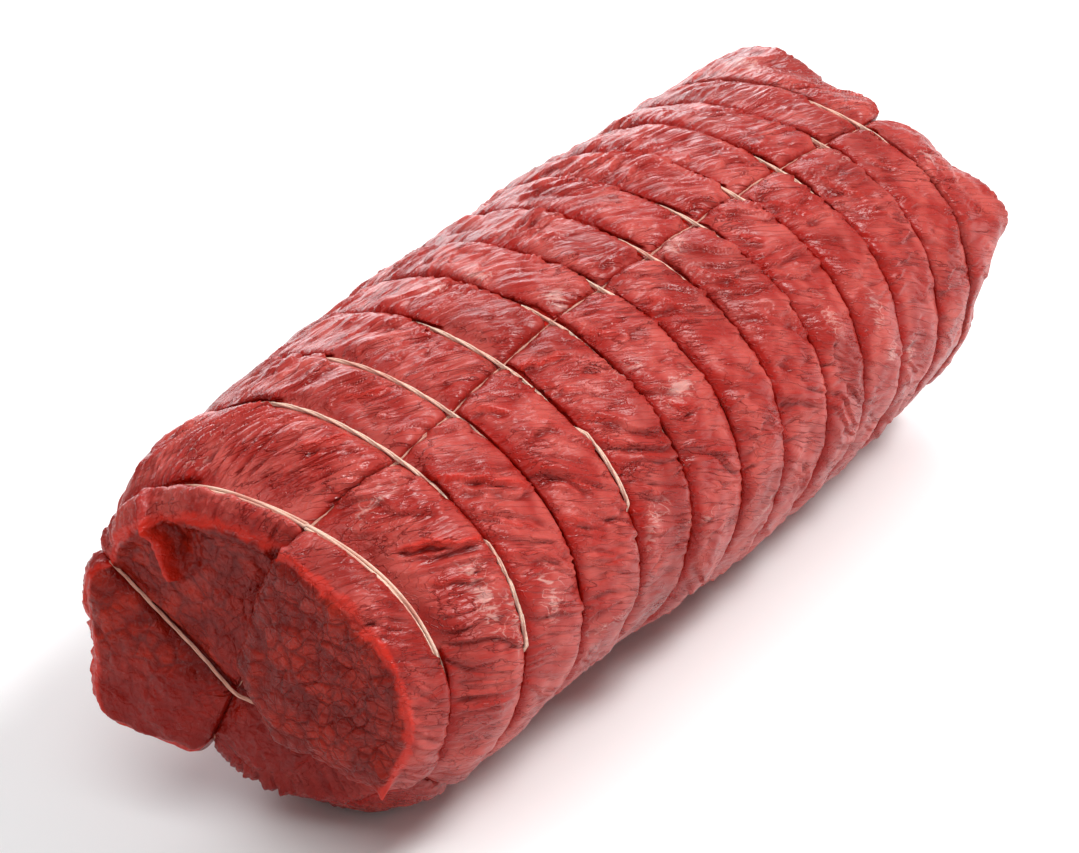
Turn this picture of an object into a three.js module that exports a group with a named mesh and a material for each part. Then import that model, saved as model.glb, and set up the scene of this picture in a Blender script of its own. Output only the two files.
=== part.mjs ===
// A boneless joint of raw red meat, rolled to a log, cut square at one end and
// held by twelve cross ties and two lengthwise strings that go round both ends.
// Millimetres, +Z up. The log lies along X with its cut end at -X and rests on
// the flat undersides of its bulges. Angles run round the log from -Y over +Z.

import * as THREE from 'three';

const DEG = Math.PI / 180;

// ---- the log: its section changes slowly with s = x / LOG_SCALE
const LOG_SCALE = 120;
const LOG_RADIUS = 53.8;        // mean radius of the ties at the fullest section
const FULLEST_X = 36;
const TAPER = 3.8;              // radius lost TAPER_RUN away from there
const TAPER_RUN = 138;
const END_PINCH = 3.5;          // the first tie is drawn tighter by this
const END_PINCH_RUN = 14;
const END_PINCH_X = -133;
const PINCH_DROP = 0.36;        // share of the pinch by which the axis comes down
const AXIS_HEIGHT = 54.3;
const AXIS_ARCH = 2.2;          // the axis drops by this at s = 1
const AXIS_BOW = 1.35;          // and swings sideways by this
const AXIS_SIDE = -1.1;
const OVAL = [0.066, -25];      // share of the radius, and direction in degrees
const THREE_SIDED = [0.034, 25];
const OVAL_CHANGE = [0.023, 28];

// ---- cross ties, from the cut end: gaps along X, and how each plane leans
const FIRST_TIE_X = -131;
const TIE_GAPS = [28.5, 24.5, 24.5, 21.5, 23, 22, 22, 22, 22, 22, 21];
const LEAN_SIDE = [5, 0, -1, -1.5, 0.5, 1.5, -0.5, 0, -0.5, -1, 0.5, 0.5];
const LEAN_TOP = [-1, 1.5, -0.5, -1, 1, -1, 0, 1, 0, 0, 0.5, -0.5];
const TIE_FLOOR = 3;            // the ties under the log level off this high
const FACES_DOWN = 0.3;         // where the section faces down by this share, it levels off
const SAG = 4;                  // the soft underside is this much fuller
// Broad hollows of the section: where round it and along it, and how deep.
const HOLLOWS = [
  { angle: -70, spread: 50, x: -55, reach: 45, depth: 6 },    // slimmer lower flank
  { angle: -90, spread: 55, x: -135, reach: 17, depth: 11.5 },  // underside rises to the cut end
];
const LEVELLING = 1;            // how softly it turns level
const BAND_RADIUS = 1.0;        // the first tie is a band of three turns
const TIE_RADIUS = 0.7;
const LONG_STRING_RADIUS = 0.6;
// degrees either side of the top seam where a tie still lies on the meat
const SHOWN_LEFT = [40, 42, 42, 24, 4, 5, 5, 4, 6, 4, 4, 21];
const SHOWN_RIGHT = [62, 12, 5, 3, 3, 6, 5, 3, 5, 3, 4, 3];
const TIE_SINK = 1.5;           // beyond that it cuts this far into the meat
const SINK_RUN = 14;            // degrees over which it does

// ---- lengthwise seams that the two strings draw in, as section angles
const TOP_SEAM = [75, 70, 71, 73, 74.5, 73.5, 72.5, 72, 71, 70, 68, 65];
const RIGHT_SEAM = [-33, -57];   // it drops under the log
const RIGHT_SEAM_RUN = 0.8;     // within about so many gaps
const LEFT_SEAM = [157, 160];
const BOTTOM_SEAM = [239, 236];
const SEAM_DEPTH = 3.7;         // below the line of the ties
const SEAM_HALF = 1.35;         // half the flat that the string lies on
const SEAM_RUN = 3.2;

// ---- meat between the ties
const SEAT = 1.5;               // tie line to the meat under it
const BAND_SEAT = 1.85;
const GROOVE_HALF = 0.9;
const CREST_SHARE = 0.086;      // a bulge's height above the tie line, as a share of its gap
const TABLE = -0.8;             // the bulges press on to the table from this far under it
const BULGE_POWER = 3.5;
const LUMP = 0.7;               // unevenness of the bulges
const SIDE_BULGE = 7;           // beyond a last tie, the crest is this far off
const SIDE_CREST = 2.2;

// ---- ends: lobes in the order right, top left, bottom left, bottom right
const CUT_END = {
  sign: -1, tie: 0, centre: [9.1, 41], plane: -134.5, tilt: -0.11,
  rise: [12, 5.5, 7, 2], rimOut: [-0.5, -4.5, -0.5, -5],
  seamRun: 5, bevel: 1.2, bevelRun: 1.5, easing: 3,
  rings: [1, 0.95, 0.87, 0.75, 0.6, 0.45, 0.3, 0.17, 0.07],
  swells: [{ angle: 207, spread: 16, out: 10.5 }, { angle: -56, spread: 24, out: -8.5 }],
};
const ROUND_END = {
  sign: 1, tie: 11, centre: [0.5, 48], plane: 127.5, tilt: 0,
  rise: [29, 29, 20, 26], rimOut: [-2, 0, -4, 1],
  seamRun: 14, bevel: 8, bevelRun: 9, easing: 1.5,
  rings: [1, 0.93, 0.8, 0.6, 0.4, 0.22, 0.09],
  swells: [
    { angle: -7, spread: 12, out: -10 }, { angle: 15, spread: 12, out: 4 },
    { angle: 38, spread: 16, out: -5 }, { angle: 92, spread: 16, out: -6 },
    { angle: 121, spread: 14, out: 3 },
  ],
};
const FOLD = { from: [33, 81.5], to: [24, 69], height: 3.2, run: 2.4 };
const FOLD_HOLLOW = { at: [22, 78], depth: 4.2, run: 5 };
const HANGING_TIP = { angle: -26, length: 5, run: 2.4 };

// ---- mesh density
const COLUMNS_BETWEEN_SEAMS = [7, 6, 4, 4];
const SEAM_COLUMNS = [SEAM_HALF, 3, 6];   // mm beside a seam
const BULGE_RINGS = [GROOVE_HALF, 2.4, 5.5];   // mm beside a tie
const SIDE_RINGS = [0, 0.22, 0.55];
const TIE_STEPS = 32;
const STRING_SIDES = 5;

// The group's origin stands under the middle of the whole.
const ORIGIN_SHIFT = [-3, 1];

const TIE_X = TIE_GAPS.reduce((xs, gap) => [...xs, xs.at(-1) + gap], [FIRST_TIE_X]);
const LAST_TIE = TIE_X.length - 1;
const { lerp, clamp } = THREE.MathUtils;

// ---------- the log's section ----------

function axisAt(x) {
  const s = x / LOG_SCALE;
  const pinch = Math.exp(-(((x - END_PINCH_X) / END_PINCH_RUN) ** 2));
  const taper = TAPER * ((x - FULLEST_X) / TAPER_RUN) ** 2;
  return {
    s,
    y: AXIS_SIDE + AXIS_BOW * (s - 0.1) ** 2,
    z: AXIS_HEIGHT - AXIS_ARCH * s * s - PINCH_DROP * END_PINCH * pinch,
    radius: LOG_RADIUS - taper - END_PINCH * pinch,
  };
}

function wave([amount, direction], order, angle) {
  return amount * Math.cos(order * (angle - direction * DEG));
}

// The smaller of two radii, eased where they are alike.
function softMin(a, b) {
  return Math.min(a, b) - LEVELLING * Math.log1p(Math.exp(-Math.abs(a - b) / LEVELLING));
}

function turnedBy(angle, from) {
  return (angle / DEG + 540 - from) % 360 - 180;
}

function hollow(x, angle) {
  return HOLLOWS.reduce((sum, h) => {
    const round = turnedBy(angle, h.angle) / h.spread;
    const along = (x - h.x) / h.reach;
    return sum + h.depth * Math.exp(-round * round - along * along);
  }, 0);
}

// Radius of the section, which levels off at a height above the table.
function sectionRadius(x, angle, proud, floor) {
  const axis = axisAt(x);
  const shape = 1 + wave(OVAL, 2, angle) + wave(THREE_SIDED, 3, angle)
    + axis.s * wave(OVAL_CHANGE, 2, angle);
  const down = Math.max(0, -Math.sin(angle));
  const radius = axis.radius * shape + SAG * down ** 6 - hollow(x, angle) + proud;
  return down < FACES_DOWN ? radius : softMin(radius, (axis.z - floor) / down);
}

function pointAt(x, station, angle, radius) {
  const axis = axisAt(station);
  return new THREE.Vector3(
    x,
    axis.y - radius * Math.cos(angle),
    axis.z + radius * Math.sin(angle),
  );
}

// Seam angles at tie coordinate k, which runs from 0 at the first tie to 11.
function seamsAt(k) {
  const along = clamp(k, 0, LAST_TIE);
  const i = Math.min(Math.floor(along), LAST_TIE - 1);
  const share = along / LAST_TIE;
  const top = lerp(TOP_SEAM[i], TOP_SEAM[i + 1], along - i);
  const right = lerp(...RIGHT_SEAM, 1 - Math.exp(-along / RIGHT_SEAM_RUN));
  const left = lerp(...LEFT_SEAM, share);
  const bottom = lerp(...BOTTOM_SEAM, share);
  return [right, top, left, bottom, right + 360].map((a) => a * DEG);
}

function lean(i, angle) {
  return LEAN_SIDE[i] * Math.cos(angle) + LEAN_TOP[i] * Math.sin(angle);
}

function sinkAt(i, angle) {
  const fromTop = angle / DEG - TOP_SEAM[i];
  const shown = fromTop > 0 ? SHOWN_LEFT[i] : SHOWN_RIGHT[i];
  const past = Math.max(0, Math.abs(fromTop) - shown) / SINK_RUN;
  return TIE_SINK * (1 - Math.exp(-past * past));
}

// Radius of the line in which the ties lie, at tie coordinate k.
function tieLine(k, angle) {
  const i = Math.min(Math.floor(k), LAST_TIE - 1);
  const sink = lerp(sinkAt(i, angle), sinkAt(i + 1, angle), k - i);
  return sectionRadius(stationAt(k), angle, -sink, TIE_FLOOR);
}

function stationAt(k) {
  const i = Math.min(Math.floor(k), LAST_TIE - 1);
  return TIE_X[i] + (k - i) * TIE_GAPS[i];
}

function leanAt(k, angle) {
  const i = Math.min(Math.floor(k), LAST_TIE - 1);
  return lerp(lean(i, angle), lean(i + 1, angle), k - i);
}

// A smooth unevenness between -1 and 1 over the log's surface.
function lumps(x, angle) {
  return 0.4 * Math.sin(x * 0.19 + 2.1 * angle + 0.8)
    + 0.35 * Math.sin(x * 0.11 - 5 * angle + 2.3)
    + 0.25 * Math.sin(x * 0.31 + 7 * angle + 4.1);
}

// ---------- columns of the mesh, drawn together at the seams ----------

function makeColumns() {
  const columns = [];
  COLUMNS_BETWEEN_SEAMS.forEach((inner, lobe) => {
    SEAM_COLUMNS.forEach((mm) => columns.push({ lobe, fromSeam: mm }));
    for (let i = 1; i <= inner; i += 1) {
      columns.push({ lobe, share: i / (inner + 1) });
    }
    SEAM_COLUMNS.toReversed().forEach((mm) => columns.push({ lobe, toSeam: mm }));
  });
  return columns;
}

function columnAngle(column, k) {
  const seams = seamsAt(k);
  const start = seams[column.lobe];
  const end = seams[column.lobe + 1];
  const edge = SEAM_COLUMNS.at(-1) / LOG_RADIUS;
  if (column.fromSeam !== undefined) return start + column.fromSeam / LOG_RADIUS;
  if (column.toSeam !== undefined) return end - column.toSeam / LOG_RADIUS;
  return lerp(start + edge, end - edge, column.share);
}

// 0 on a seam's flat, rising to 1 on the open meat.
function seamRise(column, k, angle) {
  const seams = seamsAt(k);
  const arc = LOG_RADIUS * Math.min(angle - seams[column.lobe], seams[column.lobe + 1] - angle);
  return 1 - Math.exp(-Math.max(0, arc - SEAM_HALF) / SEAM_RUN);
}

// ---------- surface of the meat ----------

function bulge(distance, halfGap) {
  const u = clamp((distance - GROOVE_HALF) / (halfGap - GROOVE_HALF), 0, 1);
  return 1 - (1 - u) ** BULGE_POWER;
}

function seatUnder(k) {
  return lerp(BAND_SEAT, SEAT, clamp(k, 0, 1));
}

// Between tie i and the next: t runs from 0 to 1.
function bodyPoint(i, t, column) {
  const k = i + t;
  const angle = columnAngle(column, k);
  const x = stationAt(k) + leanAt(k, angle);
  const tie = tieLine(k, angle);
  const crest = CREST_SHARE * TIE_GAPS[i] + LUMP * lumps(x, angle);
  const high = sectionRadius(stationAt(k), angle, crest, TABLE);
  const full = bulge(Math.min(t, 1 - t) * TIE_GAPS[i], TIE_GAPS[i] / 2);
  const meat = lerp(tie - seatUnder(k), high, full);
  const radius = lerp(tie - SEAM_DEPTH, meat, seamRise(column, k, angle));
  return pointAt(x, stationAt(k), angle, radius);
}

// How far a lobe's rim stands out from the section under the last tie.
function rimOut(end, column, angle) {
  return end.swells.reduce((sum, swell) => {
    const off = turnedBy(angle, swell.angle) / swell.spread;
    return sum + swell.out * Math.exp(-off * off);
  }, end.rimOut[column.lobe]);
}

function rimRadius(end, column) {
  const angle = columnAngle(column, end.tie);
  const rim = sectionRadius(TIE_X[end.tie], angle, rimOut(end, column, angle), TABLE);
  const seam = tieLine(end.tie, angle) - SEAM_DEPTH;
  return lerp(seam, rim, seamRise(column, end.tie, angle));
}

function distanceToSegment(p, a, b) {
  const ab = b.clone().sub(a);
  const t = clamp(p.clone().sub(a).dot(ab) / ab.lengthSq(), 0, 1);
  return p.distanceTo(a.clone().addScaledVector(ab, t));
}

// The four lines in which the strings cross an end, in its YZ plane.
function seamLines(end) {
  const centre = new THREE.Vector2(...end.centre);
  return seamsAt(end.tie).slice(0, 4).map((angle) => {
    const radius = tieLine(end.tie, angle) - SEAM_DEPTH;
    const rim = pointAt(0, TIE_X[end.tie], angle, radius);
    return [centre, new THREE.Vector2(rim.y, rim.z)];
  });
}
CUT_END.lines = seamLines(CUT_END);
ROUND_END.lines = seamLines(ROUND_END);

function foldHeight(p) {
  const ridge = distanceToSegment(p, new THREE.Vector2(...FOLD.from), new THREE.Vector2(...FOLD.to));
  const hollow = p.distanceTo(new THREE.Vector2(...FOLD_HOLLOW.at));
  return FOLD.height * Math.exp(-((ridge / FOLD.run) ** 2))
    - FOLD_HOLLOW.depth * Math.exp(-((hollow / FOLD_HOLLOW.run) ** 2));
}

// share runs from 0 where the strings cross to 1 at the rim.
function capPoint(end, share, column) {
  const angle = columnAngle(column, end.tie);
  const rim = pointAt(0, TIE_X[end.tie], angle, rimRadius(end, column));
  const centre = new THREE.Vector2(...end.centre);
  const p = centre.clone().lerp(new THREE.Vector2(rim.y, rim.z), share);
  const distance = Math.min(...end.lines.map(([a, b]) => distanceToSegment(p, a, b)));
  const rise = 1 - Math.exp(-Math.max(0, distance - SEAM_HALF) / end.seamRun);
  const inFromRim = centre.distanceTo(new THREE.Vector2(rim.y, rim.z)) * (1 - share);
  const bevel = end.bevel * Math.exp(-((inFromRim / end.bevelRun) ** 2));
  const fold = end === CUT_END ? foldHeight(p) : 0;
  const height = (end.rise[column.lobe] + fold - bevel) * rise;
  return new THREE.Vector3(end.plane + end.tilt * p.x + end.sign * height, p.x, p.y);
}

// Between the groove of an end's last tie and its rim: t runs from 0 to 1.
function sidePoint(end, t, column) {
  const angle = columnAngle(column, end.tie);
  const station = TIE_X[end.tie];
  const tieX = station + lean(end.tie, angle);
  const rim = capPoint(end, 1, column);
  const width = Math.abs(rim.x - tieX);
  const off = lerp(GROOVE_HALF, width, t);
  const tie = tieLine(end.tie, angle);
  const high = sectionRadius(station, angle, SIDE_CREST, TABLE);
  const side = lerp(tie - seatUnder(end.tie), high, bulge(off, SIDE_BULGE));
  const atRim = sectionRadius(station, angle, rimOut(end, column, angle), TABLE);
  const meat = lerp(side, atRim, (off / width) ** end.easing);
  const radius = lerp(tie - SEAM_DEPTH, meat, seamRise(column, end.tie, angle));
  return pointAt(tieX + end.sign * off, station, angle, radius);
}

function tipDrop(point, column) {
  const angle = columnAngle(column, 0) / DEG;
  const off = ((angle - HANGING_TIP.angle) * DEG * LOG_RADIUS) / HANGING_TIP.run;
  point.z -= HANGING_TIP.length * Math.exp(-off * off);
  return point;
}

// Every ring of the mesh from the middle of the cut end to that of the round one.
function makeRings(columns) {
  const rings = [];
  const ring = (pointOf) => rings.push(columns.map(pointOf));
  CUT_END.rings.toReversed().forEach((w) => ring((c) => capPoint(CUT_END, w, c)));
  rings.at(-1).forEach((p, j) => tipDrop(p, columns[j]));
  SIDE_RINGS.toReversed().forEach((t) => ring((c) => sidePoint(CUT_END, t, c)));
  TIE_GAPS.forEach((gap, i) => {
    const near = BULGE_RINGS.map((mm) => mm / gap);
    const far = near.map((t) => 1 - t).toReversed();
    [...near, 0.5, ...far].forEach((t) => ring((c) => bodyPoint(i, t, c)));
  });
  SIDE_RINGS.forEach((t) => ring((c) => sidePoint(ROUND_END, t, c)));
  ROUND_END.rings.forEach((w) => ring((c) => capPoint(ROUND_END, w, c)));
  return rings;
}

function poleOf(end) {
  return new THREE.Vector3(end.plane + end.tilt * end.centre[0], ...end.centre);
}

// A closed skin over the rings, with a pole at each end.
function meatGeometry() {
  const columns = makeColumns();
  const rings = makeRings(columns);
  const n = columns.length;
  const points = [...rings.flat(), poleOf(CUT_END), poleOf(ROUND_END)];
  const faces = [];
  for (let i = 0; i < rings.length - 1; i += 1) {
    for (let j = 0; j < n; j += 1) {
      const [a, b] = [i * n + j, i * n + ((j + 1) % n)];
      const [c, d] = [a + n, b + n];
      const even = points[a].distanceTo(points[d]) < points[b].distanceTo(points[c]);
      faces.push(...(even ? [a, c, d, a, d, b] : [a, c, b, b, c, d]));
    }
  }
  const [first, last] = [points.length - 2, points.length - 1];
  const start = (rings.length - 1) * n;
  for (let j = 0; j < n; j += 1) {
    faces.push(first, j, (j + 1) % n);
    faces.push(last, start + ((j + 1) % n), start + j);
  }
  points.forEach((p) => { p.z = Math.max(0, p.z); });
  return indexedGeometry(points, faces);
}

function indexedGeometry(points, faces) {
  const geometry = new THREE.BufferGeometry().setFromPoints(points);
  geometry.setIndex(faces);
  geometry.computeVertexNormals();
  return geometry;
}

// ---------- strings ----------

// A closed round string through the points; out gives each point's outer side.
function stringGeometry(points, out, radius) {
  const n = points.length;
  const ringPoints = [];
  points.forEach((p, i) => {
    const along = points[(i + 1) % n].clone().sub(points[(i + n - 1) % n]).normalize();
    const normal = out[i].clone().addScaledVector(along, -out[i].dot(along)).normalize();
    const side = along.clone().cross(normal);
    for (let j = 0; j < STRING_SIDES; j += 1) {
      const turn = (2 * Math.PI * (j + 0.5)) / STRING_SIDES;
      ringPoints.push(p.clone()
        .addScaledVector(normal, radius * Math.cos(turn))
        .addScaledVector(side, radius * Math.sin(turn)));
    }
  });
  const faces = [];
  for (let i = 0; i < n; i += 1) {
    for (let j = 0; j < STRING_SIDES; j += 1) {
      const a = i * STRING_SIDES + j;
      const b = i * STRING_SIDES + ((j + 1) % STRING_SIDES);
      const c = ((i + 1) % n) * STRING_SIDES + j;
      const d = ((i + 1) % n) * STRING_SIDES + ((j + 1) % STRING_SIDES);
      faces.push(a, b, c, b, d, c);
    }
  }
  return indexedGeometry(ringPoints, faces);
}

function tieGeometry(i) {
  const points = [];
  const out = [];
  for (let step = 0; step < TIE_STEPS; step += 1) {
    const angle = TOP_SEAM[i] * DEG + ((step + 0.5) * 2 * Math.PI) / TIE_STEPS;
    const wrapped = angle > 1.5 * Math.PI ? angle - 2 * Math.PI : angle;
    points.push(pointAt(TIE_X[i] + lean(i, wrapped), TIE_X[i], wrapped, tieLine(i, wrapped)));
    out.push(new THREE.Vector3(0, -Math.cos(wrapped), Math.sin(wrapped)));
  }
  return stringGeometry(points, out, i === 0 ? BAND_RADIUS : TIE_RADIUS);
}

const LIFT = LONG_STRING_RADIUS + 0.5;   // string's middle above the seam's flat

// Along one seam, from the cut end to the round end.
function seamRoute(seam) {
  const stops = [0, 0.2, 0.4, 0.65, ...TIE_GAPS.map((gap, i) => i + 1)];
  return stops.map((k) => {
    const angle = seamsAt(k)[seam];
    const radius = tieLine(k, angle) - SEAM_DEPTH + LIFT;
    const out = new THREE.Vector3(0, -Math.cos(angle), Math.sin(angle));
    return { p: pointAt(stationAt(k) + leanAt(k, angle), stationAt(k), angle, radius), out };
  });
}

// Round an end's rim and along its seam line towards the crossing.
function rimRoute(end, seam) {
  const [centre, rim] = end.lines[seam];
  const angle = seamsAt(end.tie)[seam];
  const radial = new THREE.Vector3(0, -Math.cos(angle), Math.sin(angle));
  const axial = new THREE.Vector3(end.sign, 0, 0);
  const corner = new THREE.Vector3(end.plane + end.tilt * rim.x, rim.x, rim.y);
  const turn = [0, 22.5, 45, 67.5, 90].map((deg) => {
    const out = radial.clone().multiplyScalar(Math.cos(deg * DEG))
      .addScaledVector(axial, Math.sin(deg * DEG));
    return { p: corner.clone().addScaledVector(out, LIFT), out };
  });
  const inner = [0.35, 0.7].map((t) => {
    const p = rim.clone().lerp(centre, t);
    const x = end.plane + end.tilt * p.x + end.sign * LIFT;
    return { p: new THREE.Vector3(x, p.x, p.y), out: axial };
  });
  return [...turn, ...inner];
}

// The crossing itself; the outer string lies on the inner one.
function crossing(end, outer) {
  const height = LIFT + (outer ? 2 * LONG_STRING_RADIUS + 0.5 : 0);
  const x = end.plane + end.tilt * end.centre[0] + end.sign * height;
  return { p: new THREE.Vector3(x, ...end.centre), out: new THREE.Vector3(end.sign, 0, 0) };
}

function longStringGeometry(seam, opposite, outer) {
  const route = [
    ...seamRoute(seam),
    ...rimRoute(ROUND_END, seam),
    crossing(ROUND_END, outer),
    ...rimRoute(ROUND_END, opposite).toReversed(),
    ...seamRoute(opposite).toReversed(),
    ...rimRoute(CUT_END, opposite),
    crossing(CUT_END, outer),
    ...rimRoute(CUT_END, seam).toReversed(),
  ];
  return stringGeometry(route.map((r) => r.p), route.map((r) => r.out), LONG_STRING_RADIUS);
}

// ---------- the whole ----------

const meatMaterial = new THREE.MeshStandardMaterial({
  color: 0xb4423f, roughness: 0.35, metalness: 0,
});
const stringMaterial = new THREE.MeshStandardMaterial({
  color: 0xecd0bd, roughness: 0.8, metalness: 0,
});

function namedMesh(name, geometry, material) {
  const mesh = new THREE.Mesh(geometry, material.clone());
  mesh.name = name;
  return mesh;
}

const joint = new THREE.Group();
joint.add(namedMesh('meat', meatGeometry(), meatMaterial));
TIE_X.forEach((x, i) => {
  const name = `tie_${String(i + 1).padStart(2, '0')}`;
  joint.add(namedMesh(name, tieGeometry(i), stringMaterial));
});
joint.add(namedMesh('long_string_top', longStringGeometry(1, 3, false), stringMaterial));
joint.add(namedMesh('long_string_side', longStringGeometry(0, 2, true), stringMaterial));
joint.position.set(...ORIGIN_SHIFT, 0);

export default joint;
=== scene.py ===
# A boneless joint of raw red meat, rolled to a log about 300 mm long, cut square at
# one end and held by twelve cross ties and two lengthwise strings of cotton twine.
# Lengths are in millimetres, as in the construction, until a mesh is made.

import math
from itertools import product

import bpy
import numpy as np
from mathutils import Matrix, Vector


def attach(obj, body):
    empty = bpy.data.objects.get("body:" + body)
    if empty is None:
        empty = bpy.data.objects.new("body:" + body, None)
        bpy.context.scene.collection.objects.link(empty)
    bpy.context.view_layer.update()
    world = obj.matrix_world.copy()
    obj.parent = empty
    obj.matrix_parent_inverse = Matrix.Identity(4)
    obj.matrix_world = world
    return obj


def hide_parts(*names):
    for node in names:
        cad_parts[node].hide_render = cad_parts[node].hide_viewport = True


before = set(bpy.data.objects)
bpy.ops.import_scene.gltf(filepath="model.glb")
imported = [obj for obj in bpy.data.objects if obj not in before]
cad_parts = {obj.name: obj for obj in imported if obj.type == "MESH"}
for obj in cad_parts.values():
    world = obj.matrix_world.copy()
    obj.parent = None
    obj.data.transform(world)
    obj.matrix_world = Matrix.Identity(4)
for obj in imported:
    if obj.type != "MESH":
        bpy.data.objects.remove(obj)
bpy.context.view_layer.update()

# ---------------------------------------------------------------------------
# The rolled meat: its form. A muscle rolled tight and pressed into a log, whose
# section is worked out from a mean radius, an oval and a three-sided share, and
# which rests on the flattened undersides of the bulges between its ties.
# ---------------------------------------------------------------------------
MM = 0.001
DEG = math.pi / 180

LOG_SCALE = 120  # mm along the log to one unit of its curves
LOG_RADIUS = 53.8  # mean radius of the ties at the fullest section
FULLEST_X = 36
TAPER, TAPER_RUN = 3.8, 138  # radius lost so far away from there
END_PINCH, END_PINCH_RUN, END_PINCH_X = 3.5, 14, -133
PINCH_DROP = 0.36  # share of the pinch by which the axis comes down
AXIS_HEIGHT, AXIS_ARCH, AXIS_BOW, AXIS_SIDE = 54.3, 2.2, 1.35, -1.1
OVAL, THREE_SIDED, OVAL_CHANGE = (0.066, -25), (0.034, 25), (0.023, 28)
SAG, TABLE, TIE_FLOOR, LEVELLING = 4, -0.8, 3, 1
FACES_DOWN = 0.3  # where the section faces down so much, it levels off
HOLLOWS = (  # angle, spread, x, reach, depth
    (-70, 50, -55, 45, 6),
    (-90, 55, -135, 17, 11.5),
)
ORIGIN_SHIFT = (-3, 1, 0)  # from the log's own axes to the frame

FIRST_TIE_X = -131
TIE_GAPS = np.array([28.5, 24.5, 24.5, 21.5, 23, 22, 22, 22, 22, 22, 21])
TIE_X = FIRST_TIE_X + np.concatenate([[0], np.cumsum(TIE_GAPS)])
LAST_TIE = len(TIE_GAPS)
LEAN_SIDE = np.array([5, 0, -1, -1.5, 0.5, 1.5, -0.5, 0, -0.5, -1, 0.5, 0.5])
LEAN_TOP = np.array([-1, 1.5, -0.5, -1, 1, -1, 0, 1, 0, 0, 0.5, -0.5])

# lengthwise seams that the two long strings draw in, in degrees round the log
TOP_SEAM = np.array([75, 70, 71, 73, 74.5, 73.5, 72.5, 72, 71, 70, 68, 65])
RIGHT_SEAM, LEFT_SEAM, BOTTOM_SEAM = (-33, -57), (157, 160), (239, 236)
RIGHT_SEAM_RUN = 0.8  # it drops under the log within so many gaps
SEAM_DEPTH = 3.7

# degrees either side of the top seam where a tie still lies on the meat, and those
# in which it can be seen
SHOWN_LEFT = np.array([40, 42, 42, 24, 4, 5, 5, 4, 6, 4, 4, 21])
SHOWN_RIGHT = np.array([62, 12, 5, 3, 3, 6, 5, 3, 5, 3, 4, 3])
BARE_LEFT = np.array([39, 42, 42.5, 23, 1.5, 3, 3, 3, 5, 2, 3, 20])
BARE_RIGHT = np.array([57.5, 8, 2.5, 1.5, 1.5, 5, 4, 1, 4, 2, 3, 2])
AJAR = ((1, 4, 34), (3, 20, 41))  # tie, from and to degrees: lips a little apart
AJAR_EASE = 4
TIE_SINK, SINK_RUN = 1.5, 14


def mix(a, b, share):
    return a + (b - a) * share


def bell(value, spread):
    return np.exp(-((value / spread) ** 2))


def axis_at(x):
    """Middle of the section (y, z), its mean radius, and s, the place along it."""
    s = x / LOG_SCALE
    pinch = END_PINCH * bell(x - END_PINCH_X, END_PINCH_RUN)
    y = AXIS_SIDE + AXIS_BOW * (s - 0.1) ** 2
    z = AXIS_HEIGHT - AXIS_ARCH * s * s - PINCH_DROP * pinch
    radius = LOG_RADIUS - TAPER * ((x - FULLEST_X) / TAPER_RUN) ** 2 - pinch
    return y, z, radius, s


def wave(term, order, angle):
    return term[0] * np.cos(order * (angle - term[1] * DEG))


def turned_by(angle, origin):
    """Degrees from origin, between -180 and 180."""
    return (angle / DEG + 540 - origin) % 360 - 180


def section_radius(x, angle, proud, floor):
    """Radius of the section, which levels off at floor above the table."""
    _, z, radius, s = axis_at(x)
    shape = 1 + wave(OVAL, 2, angle) + wave(THREE_SIDED, 3, angle)
    shape = shape + s * wave(OVAL_CHANGE, 2, angle)
    down = np.maximum(0, -np.sin(angle))
    out = radius * shape + SAG * down**6 + proud
    for origin, spread, at, reach, depth in HOLLOWS:
        out = out - depth * bell(turned_by(angle, origin), spread) * bell(x - at, reach)
    level = (z - floor) / np.maximum(down, FACES_DOWN)
    eased = np.minimum(out, level) - LEVELLING * np.log1p(
        np.exp(-np.abs(out - level) / LEVELLING)
    )
    return np.where(down < FACES_DOWN, out, eased)


def place(x, station, angle, radius):
    y, z, _, _ = axis_at(station)
    x, y, z = np.broadcast_arrays(
        x, y - radius * np.cos(angle), z + radius * np.sin(angle)
    )
    return np.stack([x, y, z], axis=-1)


def seams_at(k):
    """The five seam angles at tie coordinate k; the last is the first, a turn on."""
    share = np.clip(k, 0, LAST_TIE) / LAST_TIE
    right = mix(*RIGHT_SEAM, 1 - np.exp(-k / RIGHT_SEAM_RUN))
    top = np.interp(k, np.arange(LAST_TIE + 1), TOP_SEAM)
    left = mix(*LEFT_SEAM, share)
    bottom = mix(*BOTTOM_SEAM, share)
    return np.stack([right, top, left, bottom, right + 360]) * DEG


def sink_at(i, angle):
    """How far tie i cuts into the meat at an angle."""
    from_top = angle / DEG - TOP_SEAM[i]
    shown = np.where(from_top > 0, SHOWN_LEFT[i], SHOWN_RIGHT[i])
    past = np.maximum(0, np.abs(from_top) - shown) / SINK_RUN
    return TIE_SINK * (1 - np.exp(-past * past))


def tie_share(k):
    """The tie before tie coordinate k, and how far on from it k is."""
    i = np.minimum(np.floor(k).astype(int), LAST_TIE - 1)
    return i, k - i


def station_at(k):
    i, on = tie_share(k)
    return TIE_X[i] + on * TIE_GAPS[i]


def lean_at(k, angle):
    i, on = tie_share(k)
    side, top = (mix(lean[i], lean[i + 1], on) for lean in (LEAN_SIDE, LEAN_TOP))
    return side * np.cos(angle) + top * np.sin(angle)


def tie_line(k, angle):
    """Radius of the line in which the ties lie."""
    i, on = tie_share(k)
    sink = mix(sink_at(i, angle), sink_at(i + 1, angle), on)
    return section_radius(station_at(k), angle, -sink, TIE_FLOOR)


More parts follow.
